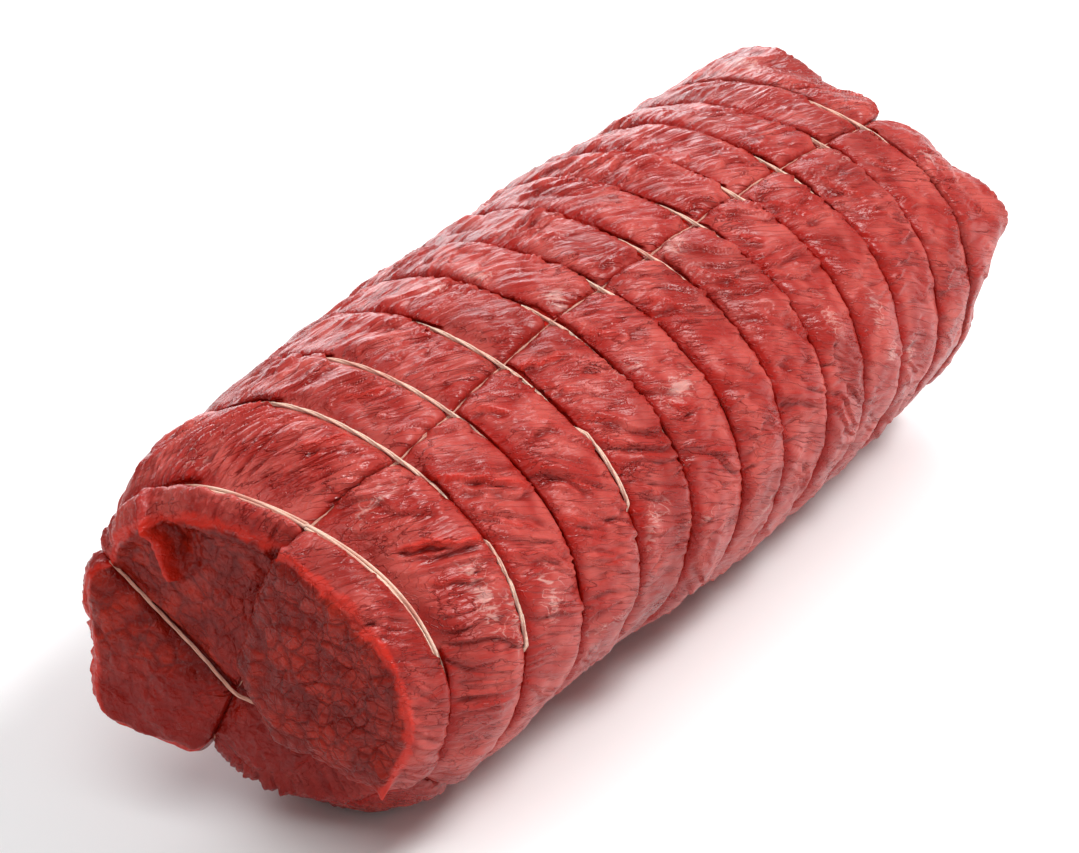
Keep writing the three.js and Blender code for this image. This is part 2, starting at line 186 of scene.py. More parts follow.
# The skin is a net of rings and columns. Columns gather beside the seams.
SEAM_COLUMNS = (0.25, 0.5, 0.8, 1.15, 1.55, 2.0, 2.5, 3.1, 3.7, 4.3)  # mm beside a seam
LOBE_COLUMNS = (255, 190, 80, 85)  # between them, from the right seam upwards
EDGE = SEAM_COLUMNS[-1]


def make_columns():
    """Lobe, share from its first seam to its second, and mm to add, of each column."""
    rows = []
    for lobe, count in enumerate(LOBE_COLUMNS):
        shares = np.arange(1, count + 1) / (count + 1)
        rows += [(lobe, 0, mm) for mm in (0, *SEAM_COLUMNS)]
        rows += [(lobe, share, EDGE * (1 - 2 * share)) for share in shares]
        rows += [(lobe, 1, -mm) for mm in reversed(SEAM_COLUMNS)]
    lobe, share, extra = (np.array(column) for column in zip(*rows))
    return lobe, share, extra


LOBE, SHARE, EXTRA = make_columns()


def column_angles(k):
    """Angles of all columns at each k of a column vector, the mm to their seam, and
    1 for those past it or -1 for those before it."""
    seams = seams_at(k[:, 0])
    start, end = seams[LOBE].T, seams[LOBE + 1].T
    angle = start + SHARE * (end - start) + EXTRA / LOG_RADIUS
    arc = LOG_RADIUS * np.minimum(angle - start, end - angle)
    return angle, arc, np.where(angle - start < end - angle, 1, -1)


# Meat between the ties: it swells out of each groove, and where a tie has cut in,
# its lips close over the twine and leave only a crease.
SEAT, BARE_SEAT = 1.5, 0.45  # tie line to the meat under it
GROOVE_HALF, BARE_HALF = 0.9, 0.3
CREST_SHARE = 0.086
LUMP = 0.7
OPEN_POWER, CLOSED_POWER = 3.5, 6  # how squarely a bulge stands up
LIP_LEAN, LIP_AT, LIP_RUN = 2.5, 2.6, 2.2  # how a lip leans over the groove
LIP_HEIGHTS = (0.3, 1.0)  # above the middle of the twine
LIP_GAP, AJAR_GAP, TOP_SEAM_GAP = 0.12, 0.55, 0.3
CLOSING = 3  # degrees over which the lips come together
SEAM_LEAN, SEAM_LIP_AT, SEAM_LIP_RUN = 1.1, 1.4, 1.2
SEAM_LIP_HEIGHTS = (0.8, 2.0)  # above the seam's floor
SEAM_HALF, SEAM_RUN = 0.45, 0.9
BULGE_RINGS = (0.3, 0.6, 0.9, 1.2, 1.5, 1.9, 2.4, 3.0, 3.7, 4.4)  # mm beside a tie
RING_STEP = 0.72
SIDE_BULGE, SIDE_CREST = 7, 2.2
LEE_SHADE, LEE_SHADE_AT, LEE_SHADE_RUN = 0.5, 1.8, 3.0  # painted shade: a darker band on a bulge's cut-end side, turned away from the key light
LEE_SHADE_MEAN, LEE_SHADE_PATCHY = 0.65, 0.6  # unevenly


def lumps(x, angle):
    return (
        0.4 * np.sin(x * 0.19 + 2.1 * angle + 0.8)
        + 0.35 * np.sin(x * 0.11 - 5 * angle + 2.3)
        + 0.25 * np.sin(x * 0.31 + 7 * angle + 4.1)
    )


def smooth(low, high, value):
    t = np.clip((value - low) / (high - low), 0, 1)
    return t * t * (3 - 2 * t)


def closed_at(i, angle):
    """1 where the lips close over tie i, 0 where it lies bare."""
    from_top = angle / DEG - TOP_SEAM[i]
    bare = np.where(from_top > 0, BARE_LEFT[i], BARE_RIGHT[i])
    return smooth(-CLOSING / 2, CLOSING / 2, np.abs(from_top) - bare)


def ajar_at(i, angle):
    """1 where the lips over tie i leave a slit in which its twine shows."""
    at = angle / DEG
    return sum(
        (i == tie) * smooth(low - AJAR_EASE, low, at) * smooth(high + AJAR_EASE, high, at)
        for tie, low, high in AJAR
    )


def lip(distance, height):
    """How far a point beside a tie leans over it, from its height over the twine."""
    return LIP_LEAN * smooth(*LIP_HEIGHTS, height) * bell(distance - LIP_AT, LIP_RUN)


def seam_lip(distance, height):
    lean = SEAM_LEAN * smooth(*SEAM_LIP_HEIGHTS, height)
    return lean * bell(distance - SEAM_LIP_AT, SEAM_LIP_RUN)


def bulge(distance, half_gap, closed):
    groove = mix(BARE_HALF, GROOVE_HALF, closed)
    u = np.clip((distance - groove) / (half_gap - groove), 0, 1)
    return 1 - (1 - u) ** mix(OPEN_POWER, CLOSED_POWER, closed)


def seat_at(closed):
    return mix(BARE_SEAT, SEAT, closed)


def seam_rise(arc):
    return 1 - np.exp(-np.maximum(0, arc - SEAM_HALF) / SEAM_RUN)


def seam_gap():
    """Half the gap between the lips of each column's seam: the top one stays ajar."""
    top = np.isin(LOBE, (0, 1)) & (np.abs(SHARE - (LOBE == 0)) < 0.5)
    return np.where(top, TOP_SEAM_GAP, LIP_GAP)


def drawn_in(angle, side, arc, above_floor):
    """The angle, turned as the lips of the long seams lean over their strings."""
    arc_left = np.maximum(seam_gap(), arc - seam_lip(arc, above_floor))
    return angle - side * np.maximum(0, arc - arc_left) / LOG_RADIUS


def body_rings():
    """Tie coordinates of the rings from the first tie to the last."""
    stops = []
    for i, gap in enumerate(TIE_GAPS):
        inner = gap - 2 * BULGE_RINGS[-1]
        count = max(1, round(inner / RING_STEP))
        middle = BULGE_RINGS[-1] + inner * np.arange(1, count) / count
        far = [gap - mm for mm in reversed(BULGE_RINGS)]
        stops += [i + mm / gap for mm in (0, *BULGE_RINGS, *middle, *far)]
    return np.array([*stops, LAST_TIE])[:, None]


def body_skin():
    k = body_rings()
    i, on = tie_share(k)
    angle, arc, side = column_angles(k)
    gap = TIE_GAPS[i]
    distance = np.minimum(on, 1 - on) * gap
    nearest = np.where(on < 0.5, i, i + 1)
    closed = closed_at(nearest, angle)
    tie = tie_line(k, angle)
    straight = station_at(k) + lean_at(k, angle)
    crest = CREST_SHARE * gap + LUMP * lumps(straight, angle)
    high = section_radius(station_at(k), angle, crest, TABLE)
    full = bulge(distance, gap / 2, closed)
    meat = mix(tie - seat_at(closed), high, full)
    slit = mix(LIP_GAP, AJAR_GAP, ajar_at(nearest, angle))
    beside = np.maximum(slit, distance - closed * lip(distance, meat - tie))
    toward = np.where(on < 0.5, -1, 1) * np.maximum(0, distance - beside)
    rise = seam_rise(arc)
    radius = mix(tie - SEAM_DEPTH, meat, rise)
    turned = drawn_in(angle, side, arc, radius - tie + SEAM_DEPTH)
    points = place(straight + toward, station_at(k), turned, radius)
    # painted shade: shown is low in the creases and over a patchy band on each bulge's
    # cut-end side, and the colour is darker where it is low
    patchy = LEE_SHADE_MEAN + LEE_SHADE_PATCHY * lumps(2 * straight, 2 * angle)
    lee_shade = closed * bell(on * gap - LEE_SHADE_AT, LEE_SHADE_RUN) * patchy
    return points, {
        "open": full * rise, "shown": mix(1, full, closed) * rise * (1 - LEE_SHADE * lee_shade),
        "angle": angle, "segment": i + 0 * angle,
    }


# The two ends: four lobes each, drawn in where the long strings cross. The cut one
# is nearly flat, with a folded ridge and a hanging tip; the other is round.
CUT_END = dict(
    sign=-1, tie=0, segment=-1, centre=(9.1, 41), plane=-134.5, tilt=-0.11,
    rise=(12, 5.5, 7, 2), rim_out=(-0.5, -4.5, -0.5, -5),
    seam_run=5, bevel=1.2, bevel_run=1.5, easing=3,
    swells=((207, 16, 10.5), (-56, 24, -8.5)),
    rings=1 - np.array([0, 0.007, 0.015, 0.025, 0.037, *np.linspace(0.05, 0.985, 100)]),
)
ROUND_END = dict(
    sign=1, tie=LAST_TIE, segment=LAST_TIE, centre=(0.5, 48), plane=127.5, tilt=0,
    rise=(29, 29, 20, 26), rim_out=(-2, 0, -4, 1),
    seam_run=14, bevel=8, bevel_run=9, easing=1.5,
    swells=((-7, 12, -10), (15, 12, 4), (38, 16, -5), (92, 16, -6), (121, 14, 3)),
    rings=1 - np.array([0, 0.01, 0.025, *np.linspace(0.045, 0.97, 38)]),
)
SIDE_RINGS = (0.02, 0.06, *np.linspace(0.11, 0.95, 17))
FOLD_FROM, FOLD_TO, FOLD_HEIGHT, FOLD_RUN = (29.5, 87), (21.8, 71), 4.4, 1.0
FOLD_HOLLOW, FOLD_DEPTH, FOLD_REACH = (23, 81), 2.2, 4
RECESS, RECESS_RANGE = 2.8, (1.2, 4.5)  # the top lobe's face lies back from its rim
CAP_LIP, CAP_LIP_AT, CAP_LIP_RUN = 1.5, 1.9, 1.4  # how far lips on an end lean together
CAP_STEEP, CAP_STEEP_RUN = 0.35, 1.3  # share of a lobe's rise right beside its seams
RIGHT_STEEP, RIGHT_STEEP_RUN = 0.8, 0.7  # the right lobe of the cut stands up like a step
STEEP_FROM, RISE_FROM = (8, 18), (2, 14)  # which both begin so far from the middle
BARE_STRETCH = (0.1, 0.62)  # of the left seam on the cut face, from its middle
PASSED = 0.22  # share of the right seam by which its string goes in
# a scrap that hangs from the cut's rim
TIP_ANGLE, TIP_LENGTH, TIP_OUT, TIP_RUN = -24.5, 3.2, 1.5, 1.6


def rim_of(end):
    """Angle, arc to the seam, radius and height of each column at an end's rim."""
    k = np.array([[end["tie"]]], float)
    angle, arc, side = column_angles(k)
    proud = np.array(end["rim_out"])[LOBE] + 0 * angle
    for origin, spread, out in end["swells"]:
        proud = proud + out * bell(turned_by(angle, origin), spread)
    outer = section_radius(TIE_X[end["tie"]], angle, proud, TABLE)
    radius = mix(tie_line(k, angle) - SEAM_DEPTH, outer, seam_rise(arc))
    return k, angle, arc, side, outer, radius


def from_segment(p, a, b):
    """From the nearest point of a segment to p, as a vector."""
    a, b = np.array(a, float), np.array(b, float)
    t = np.clip(((p - a) @ (b - a)) / ((b - a) @ (b - a)), 0, 1)
    return p - (a + t[..., None] * (b - a))


def to_segment(p, a, b):
    return np.linalg.norm(from_segment(p, a, b), axis=-1)


def seam_lines(end):
    """Where the strings cross an end: its middle to each seam, as (y, z)."""
    k = np.array([[end["tie"]]], float)
    for angle in seams_at(k[:, 0])[:4]:
        rim = place(0, station_at(k), angle, tie_line(k, angle) - SEAM_DEPTH)
        yield end["centre"], tuple(rim.ravel()[1:])


def fold_height(p):
    ridge = to_segment(p, FOLD_FROM, FOLD_TO)
    hollow = np.linalg.norm(p - np.array(FOLD_HOLLOW), axis=-1)
    return FOLD_HEIGHT * bell(ridge, FOLD_RUN) - FOLD_DEPTH * bell(hollow, FOLD_REACH)


def cap_skin(end, shares):
    """Rings of an end's face, share 1 at the rim and 0 at its middle."""
    k, angle, arc, side, _, radius = rim_of(end)
    centre = np.array(end["centre"], float)
    rim = place(0, station_at(k), angle, radius)[..., 1:]
    share = np.asarray(shares, float)[:, None]
    p = centre + (rim - centre) * share[..., None]
    offsets = np.stack([from_segment(p, a, b) for a, b in seam_lines(end)])
    distances = np.linalg.norm(offsets, axis=-1)
    nearest = np.argmin(distances, axis=0)
    distance = np.take_along_axis(distances, nearest[None], axis=0)[0]
    offset = np.take_along_axis(offsets, nearest[None, ..., None], axis=0)[0]
    past = np.maximum(0, distance - SEAM_HALF)
    step = (LOBE == 0) & (end is CUT_END)
    from_centre = np.linalg.norm(p - centre, axis=-1)
    steep = mix(CAP_STEEP, RIGHT_STEEP, step * smooth(*STEEP_FROM, from_centre))
    steep_run = np.where(step, RIGHT_STEEP_RUN, CAP_STEEP_RUN)
    rise = 1 - mix(np.exp(-past / end["seam_run"]), np.exp(-past / steep_run), steep)
    inwards = np.linalg.norm(rim - p, axis=-1)
    height = np.array(end["rise"])[LOBE] - end["bevel"] * bell(inwards, end["bevel_run"])
    shut = np.ones(distance.shape)
    if end is CUT_END:
        recess = RECESS * (LOBE == 1) * smooth(*RECESS_RANGE, inwards)
        height = height + fold_height(p) - recess
        height = height * mix(1, smooth(*RISE_FROM, from_centre), LOBE == 0)
        low, high = BARE_STRETCH
        bare = smooth(low - 0.1, low, share) * smooth(high + 0.12, high, share)
        shut = 1 - (nearest == 2) * bare - (nearest == 0) * smooth(PASSED, 0.12, share)
    x = end["plane"] + end["tilt"] * p[..., 0] + end["sign"] * height * rise
    lean = shut * CAP_LIP * bell(distance - CAP_LIP_AT, CAP_LIP_RUN)
    lean = np.minimum(lean, np.maximum(0, distance - LIP_GAP))
    p = p - offset * (lean / np.maximum(distance, LIP_GAP))[..., None]
    points = np.concatenate([x[..., None], p], axis=-1)
    return points, {
        "open": rise, "shown": rise, "inwards": inwards, "angle": angle + 0 * rise,
        "flat": p, "segment": end["segment"] + 0 * x,
    }


def side_skin(end):
    """Rings between the groove of an end's tie and its rim."""
    k, angle, arc, side_of_seam, outer, _ = rim_of(end)
    tie_x = station_at(k) + lean_at(k, angle)
    rim = cap_skin(end, [1])[0]
    width = np.abs(rim[..., 0] - tie_x)
    off = width * np.array(SIDE_RINGS)[:, None]
    off = np.maximum(off, 0.02)
    tie = tie_line(k, angle)
    closed = closed_at(np.array([[end["tie"]]]), angle)
    high = section_radius(TIE_X[end["tie"]], angle, SIDE_CREST, TABLE)
    full = bulge(off, SIDE_BULGE, closed)
    side = mix(tie - seat_at(closed), high, full)
    meat = mix(side, outer, (off / width) ** end["easing"])
    radius = mix(tie - SEAM_DEPTH, meat, seam_rise(arc))
    near = closed * lip(off, meat - tie) * (1 - off / width)
    x = tie_x + end["sign"] * np.maximum(np.minimum(off, LIP_GAP), off - near)
    turned = drawn_in(angle, side_of_seam, arc, radius - tie + SEAM_DEPTH)
    clear = np.maximum(full, (off / width) ** 2)
    return place(x, station_at(k), turned, radius), {
        "open": clear * seam_rise(arc), "shown": mix(1, clear, closed) * seam_rise(arc),
        "angle": angle + 0 * off, "segment": end["segment"] + 0 * x,
    }


cut_cap, cut_marks = cap_skin(CUT_END, CUT_END["rings"])
cut_side, cut_side_marks = side_skin(CUT_END)
body, body_marks = body_skin()
round_side, round_side_marks = side_skin(ROUND_END)
round_cap, round_marks = cap_skin(ROUND_END, ROUND_END["rings"])

skin = np.concatenate(
    [cut_cap[::-1], cut_side[::-1], body, round_side, round_cap]
)


def whole(mark):
    """One mark of all rings, from the cut end's middle to the round end's."""
    return np.concatenate([
        cut_marks[mark][::-1], cut_side_marks[mark][::-1], body_marks[mark],
        round_side_marks[mark], round_marks[mark],
    ])


opened, shown, angles, segments = map(whole, ("open", "shown", "angle", "segment"))
CAP_RINGS = len(cut_cap)
SIDE_COUNT = len(SIDE_RINGS)
inwards = np.full(opened.shape, 99.0)  # mm in from the cut end's rim
inwards[:CAP_RINGS] = cut_marks["inwards"][::-1]
outwards = np.full(opened.shape, 99.0)  # mm from it along the side
cut_rim = cut_cap[0]
outwards[CAP_RINGS:CAP_RINGS + SIDE_COUNT] = np.linalg.norm(
    cut_side[::-1] - cut_rim, axis=-1
)

# ---------------------------------------------------------------------------
# The meat's relief. Muscle fibres run lengthwise with a slow turn, so the skin has
# folds and cracks along them, flaps that overlap and soft lumps. On the cut face
# the ends of muscle bundles, about 6 and 3 mm across, stand a little proud.
# ---------------------------------------------------------------------------
FIBRE_TURN, TURN_LEFT, LEFT_FROM = 0.5, 0.2, (92, 125)  # slope of the fibres
GRADIENTS = np.random.default_rng(11).normal(size=(256, 3))
GRADIENTS /= np.linalg.norm(GRADIENTS, axis=1, keepdims=True)
SHUFFLE = np.tile(np.random.default_rng(12).permutation(256), 3)


def noise(p):
    """Smooth noise between about -1 and 1 over points p, one feature each unit."""
    cell = np.floor(p).astype(int)
    f = p - cell
    w = f * f * f * (f * (f * 6 - 15) + 10)
    total = np.zeros(p.shape[:-1])
    for corner in product((0, 1), repeat=3):
        c = (cell + corner) & 255
        pick = SHUFFLE[SHUFFLE[SHUFFLE[c[..., 0]] + c[..., 1]] + c[..., 2]]
        weight = np.prod(np.where(corner, w, 1 - w), axis=-1)
        total += weight * np.sum(GRADIENTS[pick] * (f - corner), axis=-1)
    return 1.6 * total


def fibre_frame(points, angle, segment):
    """mm along the fibres and across them, counted anew for each segment."""
    middle = np.interp(segment + 0.5, np.arange(LAST_TIE + 1), TIE_X)
    along = points[..., 0] - middle
    turn = mix(FIBRE_TURN, TURN_LEFT, smooth(*LEFT_FROM, angle / DEG))
    return along + 47 * segment, LOG_RADIUS * angle + turn * along, turn * along


def field(length, width, layer):
    """Noise whose features are so long along the fibres and so wide across them."""
    return noise(np.stack([along / length, across / width, 0 * along + layer], axis=-1))


along, across, fibre_shift = fibre_frame(skin, angles, segments)
across = across + 4.5 * noise(skin / (26, 18, 18) + 17)
wander = field(34, 15, 1.3) + 0.3 * field(11, 6, 2.1)


def folds(pitch, bend, softness):
    """Rounded folds side by side along the fibres, 1 on top and 0 in the creases."""
    return np.abs(np.sin(math.pi * (across / pitch + bend * wander))) ** softness


coarse_share = smooth(-0.35, 0.45, field(20, 11, 8.1))
fine_share = smooth(-0.4, 0.4, field(14, 8, 9.7))
strong = bell(segments, 0.6) * bell(turned_by(angles, 112), 36)  # first segment's top


def flaps(width, edge, bend, seed):
    """Flaps that overlap like tiles along the fibres: high at their lower edges."""
    phase = across / width + bend * field(24, 14, seed) + 0.2 * field(7, 4, seed + 1.7)
    part = phase - np.floor(phase)
    return np.minimum(part / edge, (1 - part) / (1 - edge)) - 0.4


flap_share = smooth(-0.25, 0.25, field(18, 9, 15.5)) * (1 - 0.7 * strong)
small_flap_share = smooth(-0.15, 0.3, field(12, 7, 33.5)) * (1 - 0.7 * strong)
crack_share = smooth(-0.3, 0.2, field(16, 12, 21.3))
crack = bell(field(17, 3.6, 18.2), 0.12)

# the flaps that stand out most, each over a hollow: x and degrees round of its two
# ends, mm by which it sags between them, and its height
FLAPS = (
    (-123, 50, -103, 35.5, 1.2, 3.2), (-103.5, 61, -80.5, 39, 1.0, 2.2),
    (-75.5, 67, -69, 58, 0.6, 1.8), (-67, 54, -59, 45, 0.4, 1.0),
    (-79, 45, -66, 27, -0.8, 1.3), (-79, 28, -71, 21, 0.5, 1.4),
    (-100, 42, -88, 30, 0.4, 1.3), (-102, 31, -88, 22, 0.5, 1.0),
    (-58, 70.5, -40, 62, 0.9, 2.2), (-55, 61, -46, 50, 0.6, 1.3),
    (-54, 47, -45, 38, 0.5, 1.4), (-54, 38, -46, 30, 0.4, 1.2),
    (-76, 15, -66, 8, 0.3, 0.9), (-122, 36, -108, 27, 0.5, 1.4),
    (-31, 66, -22, 56, 0.5, 1.4), (-29, 38, -20, 27, 0.4, 1.2),
    (-7, 62, 3, 50, 0.5, 1.2), (-8, 33, 1, 25, 0.4, 1.0), (16, 60, 25, 46, 0.5, 1.3),
    (38, 62, 46, 52, 0.4, 1.2), (60, 64, 68, 48, 0.4, 1.1), (82, 60, 90, 44, 0.4, 1.1),
    (105, 58, 112, 46, 0.4, 1.0), (-118, 92, -104, 84, 0.7, 1.8),
    (-96, 96, -84, 88, 0.6, 1.4),
)
FLAP_EDGE, FLAP_RUN, HOLLOW_RUN, FLAP_SHARE = 0.55, 3.2, 2.4, 0.45


def placed_flaps():
    """Relief of the flaps above, and 1 along their edges."""
    x = skin[..., 0] + 1.1 * noise(skin / 6 + 21)
    turned = turned_by(angles, 0)
    relief, edges = np.zeros(x.shape), np.zeros(x.shape)
    for x0, from_angle, x1, to_angle, sag, height in FLAPS:
        start = np.array([x0, from_angle * DEG * LOG_RADIUS])
        run = np.array([x1, to_angle * DEG * LOG_RADIUS]) - start
        off_x, off_y = x - start[0], turned * DEG * LOG_RADIUS - start[1]
        t = (off_x * run[0] + off_y * run[1]) / (run @ run)
        up = (off_y * run[0] - off_x * run[1]) / np.hypot(*run) + 4 * sag * t * (1 - t)
        up = up + 0.7 * noise(skin / 3.1 + x0)
        taper = height * smooth(-0.05, 0.2, t) * smooth(1.05, 0.8, t)
        over = FLAP_SHARE * np.exp(-np.abs(up) / FLAP_RUN)
        under = (FLAP_SHARE - 1) * np.exp(-np.abs(up) / HOLLOW_RUN)
        relief += taper * mix(under, over, smooth(-FLAP_EDGE, FLAP_EDGE, up))
        edges = np.maximum(edges, taper * bell(up - 0.5, 0.8))
    return relief, edges


flap_relief, flap_edges = placed_flaps()
# folds are weaker low on the flank and towards the round end
tame = 0.5 + 0.5 * smooth(-15, 25, angles / DEG)
tame = tame * (1 - 0.4 * smooth(40, 135, skin[..., 0]))
FOLD_PITCH, FINE_PITCH = 2.7, 1.25      # mm from fold to fold
FLAP_WIDTH, SMALL_FLAP_WIDTH = 8.2, 4.6
FLAP_HEIGHT, SMALL_FLAP_HEIGHT, CRACK_DEPTH = 1.4, 0.7, 0.6
coarse = 0.1 + 0.3 * coarse_share * (1 + smooth(75, 95, angles / DEG)) + 1.5 * strong
fine = 0.04 + 0.12 * fine_share + 0.45 * strong

body_relief = tame * (
    coarse * (folds(FOLD_PITCH, 1.6, 0.8) - 0.6)
    + fine * (folds(FINE_PITCH, 2.3, 0.9) - 0.6)
    + FLAP_HEIGHT * flap_share * flaps(FLAP_WIDTH, 0.07, 1.4, 12.4)
    + SMALL_FLAP_HEIGHT * small_flap_share * flaps(SMALL_FLAP_WIDTH, 0.12, 1.9, 28.4)
    - CRACK_DEPTH * crack_share * crack
) + (
    0.9 * noise(skin / 13 + 5)
    + 0.4 * noise(skin / 6 + 40)
    + flap_relief
)


def cells(p):
    """Distance to the nearest and the second nearest of scattered cell middles."""
    cell = np.floor(p).astype(int)
    best = np.full(p.shape[:-1] + (2,), 9.0)
    for corner in product((-1, 0, 1), repeat=3):
        c = (cell + corner) & 255
        pick = SHUFFLE[SHUFFLE[SHUFFLE[c[..., 0]] + c[..., 1]] + c[..., 2]]
        middle = cell + corner + 0.5 + 0.42 * GRADIENTS[pick]
        d = np.linalg.norm(p - middle, axis=-1)
        best = np.sort(np.concatenate([best, d[..., None]], axis=-1), axis=-1)[..., :2]
    return best[..., 0], best[..., 1]


def bundles(size, layer, warp):
    """Muscle bundles cut across, 1 over each one and 0 in the lines between them."""
    flat = np.concatenate([0 * face[..., :1] + layer, face[..., 1:] / size], axis=-1)
    first, second = cells(flat + warp * noise(face / size + layer)[..., None])
    return smooth(0, 0.24, second - first), first


BUNDLE, SMALL_BUNDLE = 5.8, 2.6
face = skin[:CAP_RINGS]
bundle, off_middle = bundles(BUNDLE, 0.5, 0.4)
small_bundle, _ = bundles(SMALL_BUNDLE, 7.5, 0.35)
bundle_share = 0.45 + 0.55 * smooth(10, -25, face[..., 1])  # clearest on the right
face_relief = (
    bundle_share * (0.4 * bundle - 0.3 * off_middle)
    + 0.14 * small_bundle
    + 1.3 * noise(face / 11 + 3)
    + 0.6 * noise(face / 4.4 + 8)
    + 0.25 * noise(face / 1.7 + 8)
)

# it fades where the skin goes down into a crease
relief = body_relief * smooth(0.3, 0.98, opened)
relief[:CAP_RINGS] = face_relief * smooth(0.1, 0.6, opened[:CAP_RINGS])
rim_near = np.minimum(inwards, outwards)
relief = relief * mix(0.3, 1, smooth(0, 2.0, rim_near))
# the rim is torn on the left, and nearly smooth elsewhere
TORN_AT, TORN_SPREAD = 190, 30  # degrees round
torn = bell(turned_by(angles, TORN_AT), TORN_SPREAD)
ragged = 0.7 * noise(skin / (30, 7, 7) + 60) + (0.12 + 1.0 * torn) * (
    noise(skin / (20, 2.6, 2.6) + 80)
)
# beside the top lobe's rim the skin is puckered along it
PUCKER_PITCH = 3.1
puckered = (outwards < 50) * smooth(78, 90, angles / DEG) * smooth(175, 150, angles / DEG)
pucker = 0.2 * np.sin(outwards * 2 * math.pi / PUCKER_PITCH + 6 * noise(skin / 6 + 31))
relief = mix(relief, pucker + 0.9 * noise(skin / 5 + 3) + 0.4 * relief, 0.9 * puckered)


def skin_normals(points):
    around = np.roll(points, -1, axis=1) - np.roll(points, 1, axis=1)
    down = np.gradient(points, axis=0)
    normal = np.cross(down, around)
    return normal / np.maximum(np.linalg.norm(normal, axis=-1, keepdims=True), 1e-9)


normals = skin_normals(skin)
normals *= np.sign(np.sum(normals * (skin - [0, 0, AXIS_HEIGHT]), axis=-1).mean())
skin = skin + normals * relief[..., None]
radial = skin[..., 1:] - (0, AXIS_HEIGHT)
radial = radial / np.linalg.norm(radial, axis=-1, keepdims=True)
RAGGED_REACH, JAGGED_REACH, TIP_REACH = 1.1, 0.9, 1.5   # mm from the rim
skin[..., 1:] += (ragged * bell(rim_near, RAGGED_REACH))[..., None] * radial
jagged = (0.1 + 0.7 * torn) * noise(skin / (20, 3, 3) + 90)
skin[..., 0] -= jagged * bell(rim_near, JAGGED_REACH)
tip = bell(turned_by(angles, TIP_ANGLE) * DEG * LOG_RADIUS, TIP_RUN)
tip = tip * bell(rim_near, TIP_REACH)
skin[..., 2] -= TIP_LENGTH * tip
skin[..., 0] -= TIP_OUT * tip
skin[..., 2] = np.maximum(skin[..., 2], 0)


def pole(end):
    return np.array([end["plane"] + end["tilt"] * end["centre"][0], *end["centre"]])


def closed_skin(rings, poles):
    """Vertices and faces of a closed skin with a pole at each end."""
    n_rings, n = rings.shape[:2]
    vertices = np.concatenate([rings.reshape(-1, 3), poles])
    i, j = np.meshgrid(np.arange(n_rings - 1), np.arange(n), indexing="ij")
    a, b = i * n + j, i * n + (j + 1) % n
    quads = np.stack([a, b, b + n, a + n], axis=-1).reshape(-1, 4)
    j = np.arange(n)
    first, last, start = n_rings * n, n_rings * n + 1, (n_rings - 1) * n
    head = np.stack([np.full(n, first), (j + 1) % n, j], axis=-1)
    tail = np.stack([np.full(n, last), start + j, start + (j + 1) % n], axis=-1)
    return vertices, quads, np.concatenate([head, tail])


def mesh_object(name, vertices, quads, triangles, values):
    """A smooth mesh object with one attribute for each named value."""
    mesh = bpy.data.meshes.new(name)
    faces = quads.tolist() + triangles.tolist()
    mesh.from_pydata(((vertices + ORIGIN_SHIFT) * MM).tolist(), [], faces)
    for key, value in values.items():
        kind = "FLOAT_VECTOR" if value.ndim == 2 else "FLOAT"
        attribute = mesh.attributes.new(key, kind, "POINT")
        slot = "vector" if value.ndim == 2 else "value"
        attribute.data.foreach_set(slot, value.astype(np.float32).ravel())
    mesh.shade_smooth()
    made = bpy.data.objects.new(name, mesh)
    bpy.context.scene.collection.objects.link(made)
    return made


cut_face = np.zeros(opened.shape)
cut_face[:CAP_RINGS] = smooth(0.2, 1.4, inwards[:CAP_RINGS])
# painted shade on the top lobe's face beside the right one's step, where that step shades
# it
STEP_SHADE_WIDTH = 8
step_shade = np.zeros(opened.shape)
step_shade[:CAP_RINGS] = (LOBE == 1) * bell(
    to_segment(face[..., 1:], *list(seam_lines(CUT_END))[1]), STEP_SHADE_WIDTH
)
RIM_WIDTH, TORN_WIDTH = 1.1, 3.0  # mm of painted red glow along the rim, as of light through its thin edge
rim_width = mix(RIM_WIDTH, TORN_WIDTH, torn * (outwards > 50))
rim_glow = smooth(1.35, 0.7, (rim_near + 1.1 * noise(skin / 3.5 + 13)) / rim_width)
ridge = to_segment(cut_marks["flat"][::-1], FOLD_FROM, FOLD_TO)
rim_glow[:CAP_RINGS] = np.maximum(rim_glow[:CAP_RINGS], bell(ridge, 1.3))
rim_glow *= smooth(-48, -36, turned_by(angles, 0)) + (turned_by(angles, 0) < -120)
rim_glow = np.maximum(rim_glow, np.minimum(1, 0.4 * flap_edges))
# the lines between bundle ends, darkened in the colour: partly their own dark seams, partly
# painted shade
lines_between = np.zeros(opened.shape)
lines_between[:CAP_RINGS] = 1 - np.minimum(bundle, 0.55 + 0.45 * small_bundle)


def blurred(value, times):
    """The value, evened out over its neighbours on the skin."""
    for _ in range(times):
        value = (np.roll(value, 1, axis=1) + 2 * value + np.roll(value, -1, axis=1)) / 4
        ends = np.concatenate([value[:1], value, value[-1:]])
        value = (ends[:-2] + 2 * value + ends[2:]) / 4
    return value


# painted shade: it darkens the colour where the skin lies below its surroundings
dip = blurred(relief, 36) - blurred(relief, 1)  # mm below the skin round about
